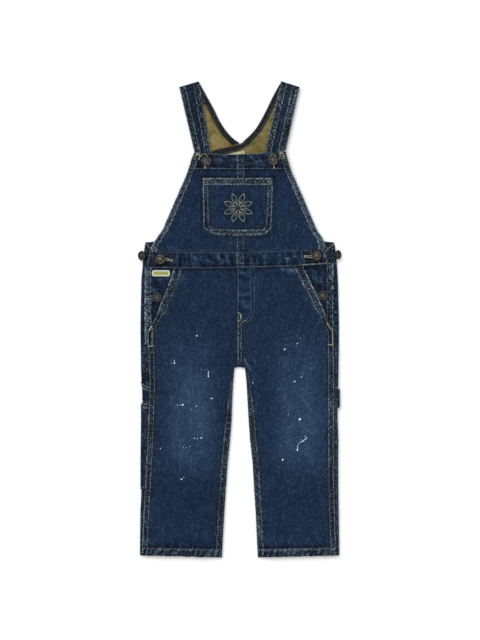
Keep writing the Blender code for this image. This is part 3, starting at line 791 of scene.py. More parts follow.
# Hip pieces behind the slanted pocket mouths, with the placket hem down their outer edges
facingLook = {
    "right": {"edge": 157.6, "tone": 0.33, "hem": 0.17, "shade": 0.06, "rub": 1.0, "seed": 6},
    "left": {"edge": 155.8, "tone": 0.30, "hem": 0.06, "shade": 0.18, "rub": 0.5, "seed": 8},
}
facingHem = 11.5


def pocketFacing(side):
    sign, look = sideSign[side], facingLook[side]
    seed = look["seed"]

    def place(t, y):
        inner = legAt(side, "seam", y) - 16
        d = mix(inner, look["edge"], t)
        inward = look["edge"] - d
        x = sign * d
        hem = sink(inward, facingHem + 0.6, 1.2)
        roped = rope(y, inward, seed, 5.2)
        tone = look["tone"] + 0.18 * grain(x, y, 9, seed) + hem * (look["hem"] + 0.25 * roped)
        tone += 0.20 * grain(x + y * 0.5, y * 0.6, 3.4, seed + 1)
        tone -= look["shade"] * (1 - hem) * (sink(y, 36, 14) + 0.7 * hill(d - inner, 18.5, 4.5))
        pale = look["rub"] * hill(inward, facingHem, 1.4) + 1.4 * hill(inward, 2.0, 1.8)
        tone += 0.22 * pale * (1 + 0.5 * grain(y, 0, 6, seed))
        tone -= 0.08 * climb(y, 76, 8) + 0.12 * sink(y, -18, 20) * hem
        wall = rounded(inward, clothWall) + 0.12 * hem * (roped - 1)
        return level(x, legY(y, x), third, wall, tone, 0.25 + 0.5 * hem)

    rows = steps(waistFootY, placketEnd + 0.5, 1.6)
    sewCloth("pocket_facing_" + side, steps(0, 1, 1 / 34), rows, place)


# Cloth sewn to the outside of a back leg: under it, round its edge and onto the front
patchLook = {"inner": 84.0, "loop": (98.0, 156.8, 165.5)}


def patchPiece(node, side, inner, end, outer, count, under, front, shade):
    # under and front say how far down the hidden edge and the front edge lie at a row
    sign = sideSign[side]
    high = wrapTop + gap + patchWall
    deep = wrapDeep + patchLift

    def place(column, v):
        zone, amount = column
        low, top = read(under, "at", v), read(front, "at", v)
        edge = outer(low)
        s = None
        if zone == "floor":
            d = mix(inner, edge - deep, amount)
            outside, inside, share, s = (d, 0), (d, patchWall), 0, d
        elif zone == "turn":
            outside, inside = turned(amount, edge - deep, deep, 0, high, patchWall)
            share = clamp(amount / 90) * 0.5
        else:
            d = mix(edge - deep, end(low), amount)
            outside, inside, share = (d, high), (d, high - patchWall), mix(0.5, 1, amount)
        y = mix(low, top, share)
        tone, cast = shade(outside[0], y, v, amount * (zone != "floor"))
        points = bothFaces(sign, inside, outside, lambda x: y)
        return Spot(*points, (sign * (edge + 8 * share if s is None else s), y), tone, cast)

    sewCloth(node, wrapColumns(3.0, 75, 8), steps(1, 0, 1 / count), place)


# How far down a patch's underside and its front edge lie, v from 1 at the top to 0 at the foot
Fall = namedtuple("Fall", "y at")


def utilityPockets():
    def outer(y):
        return legAt("right", "outer", y)

    def end(y):
        return min(legAt("right", "seam", y) + 0.8, outer(y) - wrapDeep - patchLift - 0.3)

    def upperShade(d, y, v, amount):
        down = (1 - v) * 31
        hem = bump(down / 11)
        tone = 0.36 + 0.16 * rope(d * 0.8, y, 41, 4.5) * hem + 0.14 * bump(down / 2)
        tone -= 0.18 * climb(down, 9, 4) * clamp(amount + 0.4)
        return tone, 0.15 + 0.4 * max(hem, clamp(amount))

    def lowerShade(d, y, v, amount):
        down = (1 - v) * 142
        hem = sink(down, 9, 2)
        tone = 0.34 + 0.18 * hem * rope(d, down, 42, 5) + 0.22 * (bump(down / 2) + 0.7 * hill(down, 7, 2))
        tone += 0.12 * rope(y, d, 43, 7) * (1 - hem) * clamp(amount)
        tone -= 0.12 * hill(down, 79, 22) * clamp(amount + 0.4)
        return tone, 0.15 + 0.4 * max(hem, clamp(amount))

    upperUnder = table(Fall, [(1, -102.5), (0.7, -112), (0.2, -127), (0, -133.6)])
    upperFront = table(Fall, [(1, -111.5), (0.7, -120), (0.2, -127), (0, -133.6)])
    lower = table(Fall, [(1, -139), (0, -281)])
    where = ("right", patchLook["inner"], end, outer)
    patchPiece("utility_pocket_upper", *where, 22, upperUnder, upperFront, upperShade)
    patchPiece("utility_pocket_lower", *where, 70, lower, lower, lowerShade)


def hammerLoop():
    def shade(d, y, v, amount):
        stripe = math.sin(v * math.pi * 10)
        return 0.33 + 0.09 * stripe + 0.16 * (bump(v / 0.1) + hill(1, v, 0.1)), 0.75

    fall = table(Fall, [(1, -115), (0, -146)])
    inner, end, outer = patchLook["loop"]
    patchPiece("hammer_loop", "left", inner, lambda y: end, lambda y: outer, 20, fall, fall, shade)


for side in sideSign:
    frontLeg(side)
    backLeg(side)
    pocketFacing(side)
utilityPockets()
hammerLoop()
print("legs sewn")

# Waistband
bandLook = {"foot": {"right": 155.0, "left": 149.5}, "head": {"right": 149.0, "left": 140.5}, "tone": 0.345}
# Drawn wrinkles of the waistband, pale where they stand up and dark where they sink
bandFolds = [
    (-80.2, 109, -78.7, 88, 1.0, 0.24), (-82.4, 103, -81, 88, 1.6, -0.16), (-76, 104, -69, 99.3, 1.2, 0.18),
    (-69, 99.3, -51, 96.3, 1.1, 0.18), (-64, 103, -54, 104, 2.0, 0.12), (-36, 109, -34.5, 101, 1.2, 0.2),
    (-35, 101, -25, 97, 1.3, 0.14), (-21.5, 106, -20, 89, 1.1, 0.18), (-75, 100, -64, 88, 1.8, 0.10),
    (-49, 94, -40, 95, 1.5, 0.12), (-50, 106, -46, 98, 1.8, -0.12), (-31, 108, -29, 99, 1.8, -0.14),
    (-66, 92, -58, 88, 1.8, -0.12), (-99, 106, -97, 88, 2.2, -0.15), (-91, 107, -91, 88, 1.8, -0.12),
    (-12, 104, -13, 90, 1.6, -0.12), (26.6, 107, 30.6, 89, 1.2, 0.18), (43.7, 106, 40.6, 89, 1.2, 0.18),
    (23.6, 105, 24.6, 91, 1.7, -0.14), (34.6, 106, 35.6, 88, 1.6, -0.13), (12.5, 101, 15, 94, 2.2, -0.13),
    (74.8, 99.8, 91, 104, 1.3, 0.18), (74.8, 99.8, 65.7, 106, 1.3, 0.14), (64.7, 100, 56.7, 103, 1.3, 0.13),
    (102, 113, 102.4, 102, 1.2, 0.2), (103, 102, 107, 94, 1.2, 0.14), (78.8, 97, 79, 89, 1.5, 0.16),
    (85.8, 97, 86, 89, 1.5, 0.15), (91.8, 97, 92.4, 89, 1.5, 0.15), (98.6, 97, 98.8, 90, 1.5, 0.15),
    (70.8, 98, 76, 91, 2.0, -0.12), (50, 98, 52, 90, 2.0, -0.12),
]


def waistUnder(x, end):
    # Lower at the ends, with the shallow upright ripples of a band that has pulled short
    ripple = 0.35 * math.sin(x / 11.0) * math.sin(x / 27.0 + 0.6)
    return bibFoot + ripple - 1.0 * (1 - ease((end - abs(x)) / 30))


def bandRipple(x, t):
    # Puckers between the two rows of stitching, upright or leaning, each its own width
    lean = x + 7 * (t - 0.5) * (1 + 2 * grain(x, 0, 28, 50))
    wave = math.sin(lean / 3.1 + 3.4 * grain(lean, t * 6, 14, 51))
    return 0.7 * wave * (0.5 + 0.5 * hill(t, 0.5, 0.7)) + grain(lean, t * 20, 4.5, 53)


def frontWaistband(side):
    sign, left = sideSign[side], side == "left"
    centre = bibSeam - 0.8 - gap * (not left)
    foot, head = bandLook["foot"][side], bandLook["head"][side]

    def place(u, t):
        end = mix(foot, head, t)
        width = abs(sign * end - centre)
        d = width * u
        x = centre + sign * d
        out = width - d
        y = mix(waistFoot(x) + gap / 2, waistHead(x), t)
        ripple = bandRipple(x, t)
        nearEnd = sink(out, 46, 14)
        rough = grain(x, t * bandDepth, 5.5, 54) + grain(x, t * bandDepth, 2.6, 59)
        folded = 1.5 * foldsAt(bandFolds, x, y, 1.3)
        tone = bandLook["tone"] + 0.13 * (1 - nearEnd) * ripple + nearEnd * (0.17 * rough - 0.08) + folded
        rub = bump(t / 0.06) + hill(1, t, 0.06)
        tone += 0.17 * rub * (1 + 0.9 * grain(x, t, 6, 55)) - 0.14 * hill(t, 0.15, 0.09)
        tone += 0.16 * bump(out / 1.8) - 0.09 * sink(abs(out - 23), 20, 8)
        cast = 0.12 + 0.75 * nearEnd
        wall = hemWall + 0.10 * ripple + folded
        if left:
            tone += 0.22 * sink(out, 9, 3) * (0.6 + 1.2 * grain(x, y, 3.2, 58))
            # Painted shadow beside the raised centre strip
            tone -= 0.14 * hill(d - bibStrip, 1, 1.6)
            wall += ridge * sink(d, bibStrip - 0.4, 1.0)
            shade, green, _ = seamLook(y, d, bibStrip - 1, 56, 0.10, 0.08)
            tone, cast = tone + shade, cast + green * 0.5
        else:
            # Painted shadow along the inner edge, beside the other waistband's raised strip
            tone -= 0.15 * hill(d, -0.6, 1.6)
        fromSeam = min(t, 1 - t) * bandDepth
        wall = min(rounded(out, wall), rounded(fromSeam, wall) + 0.3)
        return level(x, y, waistUnder(x, end), wall, tone, cast, (y, x), 0)

    fine = [0, 0.003, 0.008, 0.016, 0.026, 0.038, 0.05, 0.06, 0.07, 0.08, 0.088, 0.1]
    columns = fine + steps(0.11, 0.97, 0.0095) + [0.978, 0.985, 0.991, 0.996, 1]
    rows = closeEnds([0, 0.015, 0.035, 0.06, 0.09, 0.125, 0.165], 0.045)
    sewCloth("front_waistband_" + side, columns, rows, place)


def backWaistband():
    # On the floor, round both sides and under the ends of the front waistband
    high = second + clothWall
    deep, end = high / 2, 115.0

    def place(column, t):
        part, sign, amount = column
        outer = mix(160.5, 156.2, t ** 1.5)
        if part == "tongue":
            d, s = mix(end, outer - deep, amount), outer - amount * 40
            top = mix(117.0, 125.0, smooth(amount * 1.6 - 0.6))
            outside, inside = (d, high), (d, high - clothWall)
        elif part == "turn":
            outside, inside = turned(amount, outer - deep, deep, 0, high, clothWall)
            top, s = mix(125.0, 127.5, (90 - amount) / 180), outer + amount / 20
        else:
            d, s = mix(outer - deep, 0, amount), outer * (1 - amount)
            top = mix(127.5, backHeadY, smooth(amount * 5))
            outside, inside = (d, 0), (d, clothWall)
        points = bothFaces(sign, inside, outside, lambda x: mix(waistFoot(x) + gap / 2, top, t))
        x, y = points[1].x, points[1].y
        tone = 0.26 + 0.10 * bandRipple(x * 1.3, t) + 0.34 * hill(1, t, 0.07) + 0.16 * grain(x, y, 3, 57)
        tone += 0.16 * hill(t, 0.7, 0.05) * (part != "floor")
        return Spot(*points, (y, sign * s), tone, 0.2 if part == "floor" else 0.75, 0)

    half = [("tongue", t) for t in steps(0, 1, 1 / 26)[:-1]] + [("turn", a) for a in steps(90, -90, 15)]
    half += [("floor", t) for t in steps(0, 1, 1 / 60)[1:]]
    ring = [(part, -1, amount) for part, amount in half]
    ring += [(part, 1, amount) for part, amount in reversed(half[:-1])]
    sewCloth("back_waistband", ring, steps(0, 1, 1 / 22), place)


for side in sideSign:
    frontWaistband(side)
backWaistband()
print("waistband sewn")

# Bib: the distance of the armhole edge from the middle, from the top down
Bib = namedtuple("Bib", "y right left")
bibRows = table(Bib, [
    (bibHead, 75.4, 75.6), (262, 80.2, 79.4), (248, 84.7, 84.4), (240, 87.6, 87.4), (224, 94.8, 95.0),
    (205, 103.0, 103.6), (180, 113.8, 113.8), (147, 128.0, 128.0), (132, 139.0, 137.4), (118, 146.6, 141.2),
    (waistHeadY, 148.0, 140.5),
])
bibLook = {"tone": 0.385, "armHem": 10.5}
# Rubbed creases of the top band
bibScuffs = [
    (-34, 266, -22, 254, 2.0, 0.13), (-26, 270, -15, 262, 1.6, 0.10), (18, 256, 36, 262, 2.2, 0.08),
    (30, 268, 40, 258, 1.6, 0.07), (12, 268, 24, 264, 1.8, 0.08), (-44, 254, -38, 262, 1.6, 0.06),
]


def bibEdge(side, y):
    return sum(read(bibRows, side, y + d) for d in (-2.5, 0, 2.5)) / 3


def strapZone(x, y):
    # 1 over the strap ends, which lie inside the top corners of the bib
    return climb(abs(x), 20, 11) * climb(y, 224, 15)


def bibUnder(side, x, y):
    zone = strapZone(x, y)
    lowEdge = 0.9 * (1 - ease((bibEdge(side, y) - abs(x)) / 22)) * (1 - zone)
    return mix(bibFoot, bibOverStrap, zone) - lowEdge


def bibY(y, x):
    # The lowest row follows the waistband and the top rows the bib's curved top edge
    foot = clamp((147 - y) / (147 - waistHeadY)) * (waistHead(x) + gap - waistHeadY)
    top = clamp((y - bibHem) / (bibHead - bibHem)) * (bibTop(x) - bibHead)
    return y + foot + top


def bibPanel(side):
    sign, left, armHem = sideSign[side], side == "left", bibLook["armHem"]
    centre = bibSeam - gap * (not left)
    seed = 61 + sign

    def place(column, row):
        width = abs(sign * bibEdge(side, row) - centre)
        d = acrossAt(column, width)
        out = width - d
        x = centre + sign * d
        y = bibY(row, x)
        tone = bibLook["tone"] + 0.012 * grain(x, y, 22, seed) + 0.012 * grain(x, y * 0.15, 2.6, seed)
        band = climb(row - bibHem, -0.6, 1.2)
        wall = mix(clothWall, hemWall, max(band, sink(out, armHem + 0.5, 1.2)))
        found = seamLook(row * 1.1, out, armHem, seed + 2, 0.19, 0.115, 0.54)
        tone, cast, wall = added((tone, 0.0, wall), found)
        if left:
            strip = sink(d, bibStrip + 0.3, 1.0)
            shade, green, height = seamLook(row, d, bibStrip, seed + 4, 0.11, -0.01, 0.22)
            tone, cast = tone + shade + 0.09 * strip * climb(row, 226, 8), cast + green * 0.55
            wall += ridge * strip + height
        # Top band: worn edge, rubbed creases, a dark line at its seam and a softer one above
        fromTop = bibHead - row
        tone += 0.46 * bump(fromTop / 1.9) * (1 + 0.7 * grain(x, 0, 8, seed))
        blotched = 0.22 * grain(x * 0.6, y, 7, seed + 7) + 0.14 * grain(x + y, y, 3.2, seed + 8)
        blotched -= 0.10 + 0.10 * climb(abs(x + 0.3), 54, 8)
        tone += band * (1.5 * foldsAt(bibScuffs, x, y, 1.2) + blotched)
        tone -= 0.14 * hill(row - bibHem, 2.9, 2.2) + 0.10 * hill(row - bibHem, -2.2, 2.4)
        cast += 0.3 * band
        wall += 0.28 * band * foldsAt(bibScuffs, x, y) / 0.13
        # Darker above the pocket and round it, blotched and rubbed at the foot
        tone -= (1 - band) * climb(row, 226, 12) * (0.05 + 0.07 * grain(x, y, 9, seed + 9))
        # Painted shade in a band round the pocket's raised edges, deeper along its top
        outline = max(pocketRows[0].low - x, x - pocketRows[0].high, y - pocketHead, 139 - y)
        tone -= (0.10 + 0.10 * climb(row, 225, 8)) * hill(outline, 2, 3.6) * (outline > 0)
        tone += 0.05 * sink(row, 142, 14) * grain(x, y * 0.7, 9, seed + 10)
        tone -= 0.06 * sink(row, waistHeadY + 6, 6)
        tone += 0.15 * hill(row - waistHeadY, 2.2, 3.2) * smooth(0.5 + 1.6 * grain(x, 0, 13, seed + 11))
        free = ease(min(out, row - waistHeadY) / 20)
        rise = free * (0.22 * grain(x, y, 42, seed) + 0.07 * grain(x, y, 13, seed))
        wall = min(rounded(out, wall), rounded(fromTop, wall))
        return level(x, y, bibUnder(side, x, row) + max(rise, -0.05), wall, tone, cast)

    rows = steps(bibHead, 270, 0.6) + steps(268.5, bibHem + 1.5, 1.7) + [248.4, 247.6]
    sewCloth("bib_" + side, zones(26), rows + steps(246, waistHeadY, 2.1), place)


# Chest pocket sections: its side edges
Pocket = namedtuple("Pocket", "y low high")
pocketRows = table(Pocket, [
    (pocketHead, -61.0, 55.0), (222.0, -61.0, 54.8), (200.0, -60.4, 54.2), (175.0, -59.6, 53.3),
    (pocketCut, -59.0, 52.4), (145.0, -51.0, 46.8), (pocketFoot, -43.4, 40.6),
])
pocketLook = {
    "emblem": 30.0, "hem": 11.0, "band": 8.6, "tone": 0.378, "base": {"right": -0.07, "left": -0.02},
}


def pocketEdge(x, row):
    # How far a spot lies in from the nearest sewn edge, chamfers included
    low, high = read(pocketRows, "low", row), read(pocketRows, "high", row)
    corner = min(x + 59 + (row - pocketCut) * 0.75, 52.4 - x + (row - pocketCut) * 1.0) * 0.78
    return max(0, min(x - low, high - x, row - pocketFoot, max(corner, 0) if row < 165 else 99))


def chestPocket():
    look, hemDepth = pocketLook, pocketLook["hem"]

    def place(t, row):
        x = mix(read(pocketRows, "low", row), read(pocketRows, "high", row), t)
        side = "left" if x > 0 else "right"
        fromStrip = x - bibSeam - bibStrip / 2
        under = bibUnder(side, x, row) + clothWall + gap + 0.06
        under += ridge * bump(fromStrip / (bibStrip / 2 + 7)) ** 0.4
        point = 1.6 * (1 - abs(x) / 45) * clamp((pocketCut - row) / 12)
        inward, fromTop = pocketEdge(x, row), pocketHead - row
        hem = climb(row - pocketHead + hemDepth, -0.5, 1.0)
        s, base = (x, 0.05) if row < 150 else (row, look["base"][side])
        shade, green, height = seamLook(s, inward, look["band"], 71, 0.20, base, 0.46)
        tone = look["tone"] + 0.015 * grain(x, row, 9, 72) + shade * (1 - hem)
        tone -= 0.07 * sink(math.hypot(x + 2.5, row - 184), look["emblem"], 5)
        roped = rope(x, row, 73, 4.2)
        tone += hem * (0.01 + 0.22 * roped) + 0.44 * bump(fromTop / 1.9)
        tone += 0.28 * hill(fromTop - hemDepth, -0.6, 1.5) + 0.14 * bump(min(x + 61, 55 - x) / 2)
        tone += 0.05 * bump(fromStrip / 5) * sink(row, 172, 18)
        wall = mix(clothWall, hemWall, hem) + height + 0.10 * hem * roped
        wall = min(rounded(inward, wall), rounded(fromTop, wall))
        return level(x, row - point, under, wall, tone, mix(green * (1 - hem), 1.0, hem))

    rows = steps(pocketHead, 231, 0.5) + steps(230, 222.6, 1.2) + steps(221.8, 152, 1.8)
    rows += steps(pocketCut, 141, 0.9) + [140.2, 139.6, pocketFoot]
    sewCloth("chest_pocket", closeEnds([0, 0.004, 0.009, 0.016, 0.026], 0.0122), rows, place)


for side in sideSign:
    bibPanel(side)
chestPocket()
print("bib sewn")

# Straps, each one piece with the back panel that it widens into. band is the neck binding's
# width there, and rise is 1 where one panel lies on the other.
Back = namedtuple("Back", "neckX neckY armX armY band rise")
backRows = {
    "right": [
        (67, 391.0, 99.6, 381.5, 9.6, 0), (60, 378.8, 95, 366, 9.6, 0), (50, 360.6, 91, 350, 9.6, 0),
        (42, 346, 87, 333, 9.6, 0), (35, 331.3, 83.6, 318, 9.6, 0), (27, 317.8, 79.8, 302, 9.8, 0),
        (17, 305, 77, 290, 10.4, 0), (8, 296.5, 74.8, 280, 11, 0), (0, 290.5, 75, 272, 13, 0),
        (-24, 284, 77, 262, 16, 0), (-48, 278, 82, 248, 17, 0), (-62, 264, 87, 234, 0, 0),
        (-74, 238, 94.5, 216, 0, 0), (-96, 185, 112, 176, 0, 0), (-117, 130.3, 135, 130.3, 0, 0),
    ],
    "left": [
        (68, 391.4, 98.6, 381.5, 9.6, 0), (60.5, 378.8, 94.6, 368, 9.6, 0), (51, 360.5, 90.4, 352, 9.6, 0),
        (45, 348, 86.4, 335, 9.6, 0), (37, 332.4, 82.8, 320, 9.6, 0.25), (28, 317, 79.2, 304, 9.8, 0.65),
        (18, 305.2, 76.4, 291, 10.4, 1), (8.5, 296.3, 75, 281, 11, 1), (1, 290.5, 74.8, 272, 13, 1),
        (-23, 284.3, 76.8, 262, 22, 1), (-46.3, 278.5, 81.6, 248, 23, 1), (-62, 264, 86.6, 234, 0, 1),
        (-74, 238, 94.5, 216, 0, 1), (-96, 185, 112, 176, 0, 1), (-117, 130.3, 133, 130.3, 0, 1),
    ],
}
Strap = namedtuple("Strap", "outerEnd innerEnd outerTop innerTop")
strapEnds = {
    "right": Strap((67.8, 246), (42.5, 247), (99.6, 381.5), (67, 391.0)),
    "left": Strap((68.8, 246), (35.0, 247), (98.6, 381.5), (68, 391.4)),
}
strapLook = {
    "band": 10.2, "channel": 0.295, "front": 150.0, "turn": 7.5, "row": 16.5,
    "shade": {"right": 0.0, "left": 0.21}, "faded": {"right": 0.0, "left": 0.05},
    "wider": {"right": 0.0, "left": 2.2},
}


def pointBetween(start, end, t):
    return Vector((mix(start[0], end[0], t), mix(start[1], end[1], t)))


def backAt(side, v):
    # The back panel's section at a place between two rows, on a smooth curve through them all
    rows = backRows[side]
    k = min(int(v), len(rows) - 2)
    t = v - k
    near = [rows[min(max(k + step, 0), len(rows) - 1)] for step in (-1, 0, 1, 2)]
    values = []
    for a, b, c, d in zip(*near):
        bend = (2 * a - 5 * b + 4 * c - d) * t * t + (3 * b - a - 3 * c + d) * t ** 3
        values.append((2 * b + (c - a) * t + bend) / 2)
    return Back(*values)


def strapPiece(side):
    sign, shape, look = sideSign[side], strapEnds[side], strapLook
    lean = (Vector(shape.innerTop) - Vector(shape.outerTop)).normalized()
    up = Vector((lean.y, -lean.x))
    height = third + strapWall
    seed = 81 + sign

    def place(u, v):
        # v: 0-1 up the front strap, 1-2 over the shoulder, and from 2 on down the back panel
        if v <= 2:
            outer = pointBetween(shape.outerEnd, shape.outerTop, min(v, 1))
            inner = pointBetween(shape.innerEnd, shape.innerTop, min(v, 1))
            angle = math.pi * max(v - 1, 0)
            wall = mix(strapWall, clothWall, angle / math.pi)
            zOut = height / 2 + height / 2 * math.cos(angle)
            zIn = (third + clothWall) / 2 + (third - clothWall) / 2 * math.cos(angle)
            reach, inset = height / 2 * math.sin(angle), (height / 2 - wall) * math.sin(angle)
            s = look["front"] * min(v, 1) + look["turn"] * max(v - 1, 0)
        else:
            row = backAt(side, v - 2)
            outer, inner = Vector((row.armX, row.armY)), Vector((row.neckX, row.neckY))
            zOut = second * clamp(row.rise)
            zIn = zOut + clothWall
            reach = inset = 0
            s = look["front"] + look["turn"] + look["row"] * (v - 2)
        width = (inner - outer).length
        d, spot = width * u, outer.lerp(inner, u)
        edge = min(d, width - d)
        if v <= 2.6:
            band = look["band"] + look["wider"][side] * (d < width / 2)
            shade, green, puff = seamLook(s, edge, band, seed + 2 - (d < edge + 1), 0.21, 0.025, 0.42)
            tone = look["channel"] + look["faded"][side] + shade + 0.09 * grain(d, s * 0.14, 3.2, seed)
            # Two rows of stitches draw in a furrow along the middle of each band
            tone += 0.08 * hill(edge, 4.6, 1.6) * (1 + grain(s, 0, 9, seed))
            cast = green + 0.2
            zOut += (puff - 0.35 * (1 - ease(edge / 1.2)) - 0.25 * climb(edge, band, 2)) * (v < 1)
        else:
            shade, cast, _ = seamLook(s, edge, 9, seed + 3)
            tone = 0.42 + shade
        if v > 1.5:
            tone = min(tone, 0.46) - look["shade"][side] * smooth((v - 1.5) * 2)
        faces = ((inset, zIn), (reach, zOut))
        points = [Vector((sign * (spot.x + up.x * out), spot.y + up.y * out, z)) for out, z in faces]
        return Spot(*points, (d, s), tone, cast, smooth((v - 1.4) * 2))

    rows = steps(0, 1, 1 / 75) + steps(1, 2, 1 / 12)[1:] + steps(2, 16, 1 / 6)[1:]
    sewCloth("strap_" + side, closeEnds([0, 0.012, 0.03, 0.055, 0.085], 0.034), rows, place)


def bindingPoint(row, d):
    # A spot d in from the neck edge, on the way across a back panel's section
    neck = Vector((row.neckX, row.neckY))
    return neck + (Vector((row.armX, row.armY)) - neck).normalized() * d


def neckBinding(side, last, tip):
    # A tape along the neck edge, on the inside of a back panel, as far as a row and then its tip
    sign, seed = sideSign[side], 91 + sideSign[side]

    def place(u, v):
        row = backAt(side, min(v, last))
        d, s = u * row.band, strapLook["row"] * v
        x, y = bindingPoint(row, d).lerp(pointBetween(*tip, u), clamp(v - last))
        tone = 0.145 + 0.11 * rope(s, d, seed, 7) + 0.24 * bump(d / 2.2) + 0.13 * hill(row.band, d, 1.8)
        wall = min(rounded(d, bindingWall), rounded(row.band - d, bindingWall))
        under = second * clamp(row.rise) + clothWall + gap
        inside = 0.07 + 0.5 * sink(d, 3.6, 2) * smooth(v - 7) * (side == "left")
        return level(sign * x, y, under, wall, tone, 0.8, (d, s))._replace(face=inside)

    sewCloth("neck_binding_" + side, steps(0, 1, 1 / 14), steps(0, last + 1, 1 / 7), place)


for side in sideSign:
    strapPiece(side)
neckBinding("right", 7, ((0.5, 291.8), (13.0, 288.2)))
neckBinding("left", 10, ((-47.3, 278.8), (-46.2, 272.5)))
print("straps sewn")

# Woven labels, left blank
labelLook = {
    "neck": {
        "corner": (7.5, 279.2), "turn": 14, "size": (34, 14), "round": 1.6,
        "under": second + clothWall + gap, "field": 0.6,
    },
    "hip": {
        "corner": (-115.2, 81.0), "turn": 0, "size": (29.6, 10.2), "round": 3.6,
        "under": third + clothWall + gap, "field": 0,
    },
}


def wovenLabel(name, frameWidth, field):
    look = labelLook[name]
    width, height = look["size"]
    right, radius = direction(math.radians(look["turn"])), look["round"]
    up = Vector((-right.y, right.x))

    def place(u, v):
        down = height * v
        corner = radius - math.sqrt(max(radius ** 2 - max(radius - min(down, height - down), 0) ** 2, 0))
        back = mix(corner, width - corner, u)
        x, y = Vector(look["corner"]) - up * down - right * back
        inward = min(back, width - back, down, height - down)
        inside = climb(inward, frameWidth, 0.5)
        wall = rounded(inward, labelWall) - 0.25 * inside + 0.10 * hill(inward, frameWidth, 0.6)
        tone = 0.86 - 0.9 * hill(back, 4.5, 1.1) * (name == "neck") - 0.25 * bump(inward / 0.5)
        return level(x, y, look["under"], wall, tone, mix(look["field"], field, inside))

    columns = closeEnds([0, 0.008, 0.018, 0.03, 0.045], 0.02)
    rows = closeEnds([0, 0.02, 0.05, 0.09, 0.13, 0.17], 0.055)
    sewCloth(name + "_label", columns, rows, place, "label")


wovenLabel("neck", 30.0, 0.0)
wovenLabel("hip", 1.9, 1.0)

# Buttons: pressed caps with a rolled rim, a plain ring and a beaded ring round a low boss
buttonLook = {
    "shank": 1.6, "steps": 56, "beads": 14,
    "profile": [
        (0.0, 2.35), (0.9, 2.3), (1.7, 2.0), (2.2, 1.75), (2.7, 2.0), (3.2, 2.05), (3.6, 1.75), (4.1, 1.6),
        (4.8, 1.75), (5.4, 1.6), (5.8, 1.7), (6.3, 2.35), (6.9, 2.6), (7.5, 2.35), (7.9, 1.6), (7.8, 0.8),
        (7.3, 0.2), (6.4, 0.0), (1.6, 0.0),
    ],
    "brown": (srgb(36, 35, 35), srgb(99, 93, 84), srgb(104, 101, 92)),
    "dull": (srgb(33, 33, 32), srgb(82, 78, 69), srgb(88, 87, 79)),
    "green": (srgb(30, 34, 32), srgb(50, 56, 52), srgb(76, 84, 80)),
}
Button = namedtuple("Button", "place side x y under tilt shank", defaults=(0, 0))
buttons = [
    Button("bib", "right", -55.2, 261.0, bibOverStrap + hemWall + gap),
    Button("bib", "left", 54.6, 262.0, bibOverStrap + hemWall + gap),
    Button("waist", "right", -131.0, 99.0, bibFoot + hemWall + gap),
    Button("waist", "left", 127.0, 105.0, bibFoot + hemWall + gap),
    Button("side", "right", -161.0, 105.0, 5.4, -38, 3.2),
    Button("side", "left", 161.6, 106.5, 6.3, 50, 3.6),
    Button("placket", "right", -136.4, 36.5, third + clothWall + gap),
    Button("placket", "left", 137.5, 39.2, third + clothWall + gap),
]


def makeButton(button):
    look = buttonLook
    bm = bmesh.new()
    dye = bm.verts.layers.float_color.new("dye")
    metal = {"side": "green", "placket": "dull"}.get(button.place, "brown")
    dark, warm, bright = (Vector(c) for c in look[metal])
    foot = -button.shank if button.shank else 0.0
    profile = look["profile"] + [(look["shank"], foot), (0.0, foot)]
    ring = [bm.verts.new((r, 0, z)) for r, z in profile]
    edges = [bm.edges.new(pair) for pair in zip(ring, ring[1:])]
    turn = {"cent": (0, 0, 0), "axis": (0, 0, 1), "angle": 2 * math.pi, "steps": look["steps"]}
    bmesh.ops.spin(bm, geom=ring + edges, use_merge=True, **turn)
    bmesh.ops.remove_doubles(bm, verts=bm.verts, dist=0.001)
    for vert in bm.verts:
        r, angle = math.hypot(vert.co.x, vert.co.y), math.atan2(vert.co.y, vert.co.x)
        beaded = hill(r, 4.8, 0.9) * (vert.co.z > 1)
        vert.co.z += 0.32 * beaded * math.cos(look["beads"] * angle)
        high = climb(vert.co.z, 1.75, 0.6)
        face = dark.lerp(warm, smooth(1.15 - r / 5.5))
        vert[dye] = face.lerp(bright, 0.75 * high * (vert.co.z > 1))
    outward(bm)
    tilted = Matrix.Rotation(math.radians(button.tilt), 4, "Y")
    placed = Matrix.Translation((button.x, button.y, button.under)) @ tilted
    bmesh.ops.transform(bm, matrix=Matrix.Scale(mm, 4) @ placed, verts=bm.verts)
    node = f"button_{button.place}_{button.side}"
    return addPiece(node + "_cap", bm, "brass", [node], sharp=50)


caps = {(button.place, button.side): makeButton(button) for button in buttons}
print("labels and buttons made")

# Thread
dyes = {
    "pale": srgb(152, 170, 178), "grey": srgb(114, 132, 144), "olive": srgb(118, 128, 116),
    "moss": srgb(156, 158, 84), "lime": srgb(190, 200, 158), "gold": srgb(196, 188, 152),
    "beige": srgb(224, 218, 182), "cream": srgb(238, 228, 190), "dark": srgb(48, 56, 64),
    "dust": srgb(112, 102, 96),
}
threadHeight = 0.62


def stitchMesh():
    # One stitch along X, pinched at both ends
    bm = bmesh.new()
    bmesh.ops.create_uvsphere(bm, u_segments=6, v_segments=4, radius=0.5)
    bmesh.ops.rotate(bm, verts=bm.verts, matrix=Matrix.Rotation(math.pi / 2, 3, "Y"))
    return meshFrom("stitch", bm)


stitch = stitchMesh()


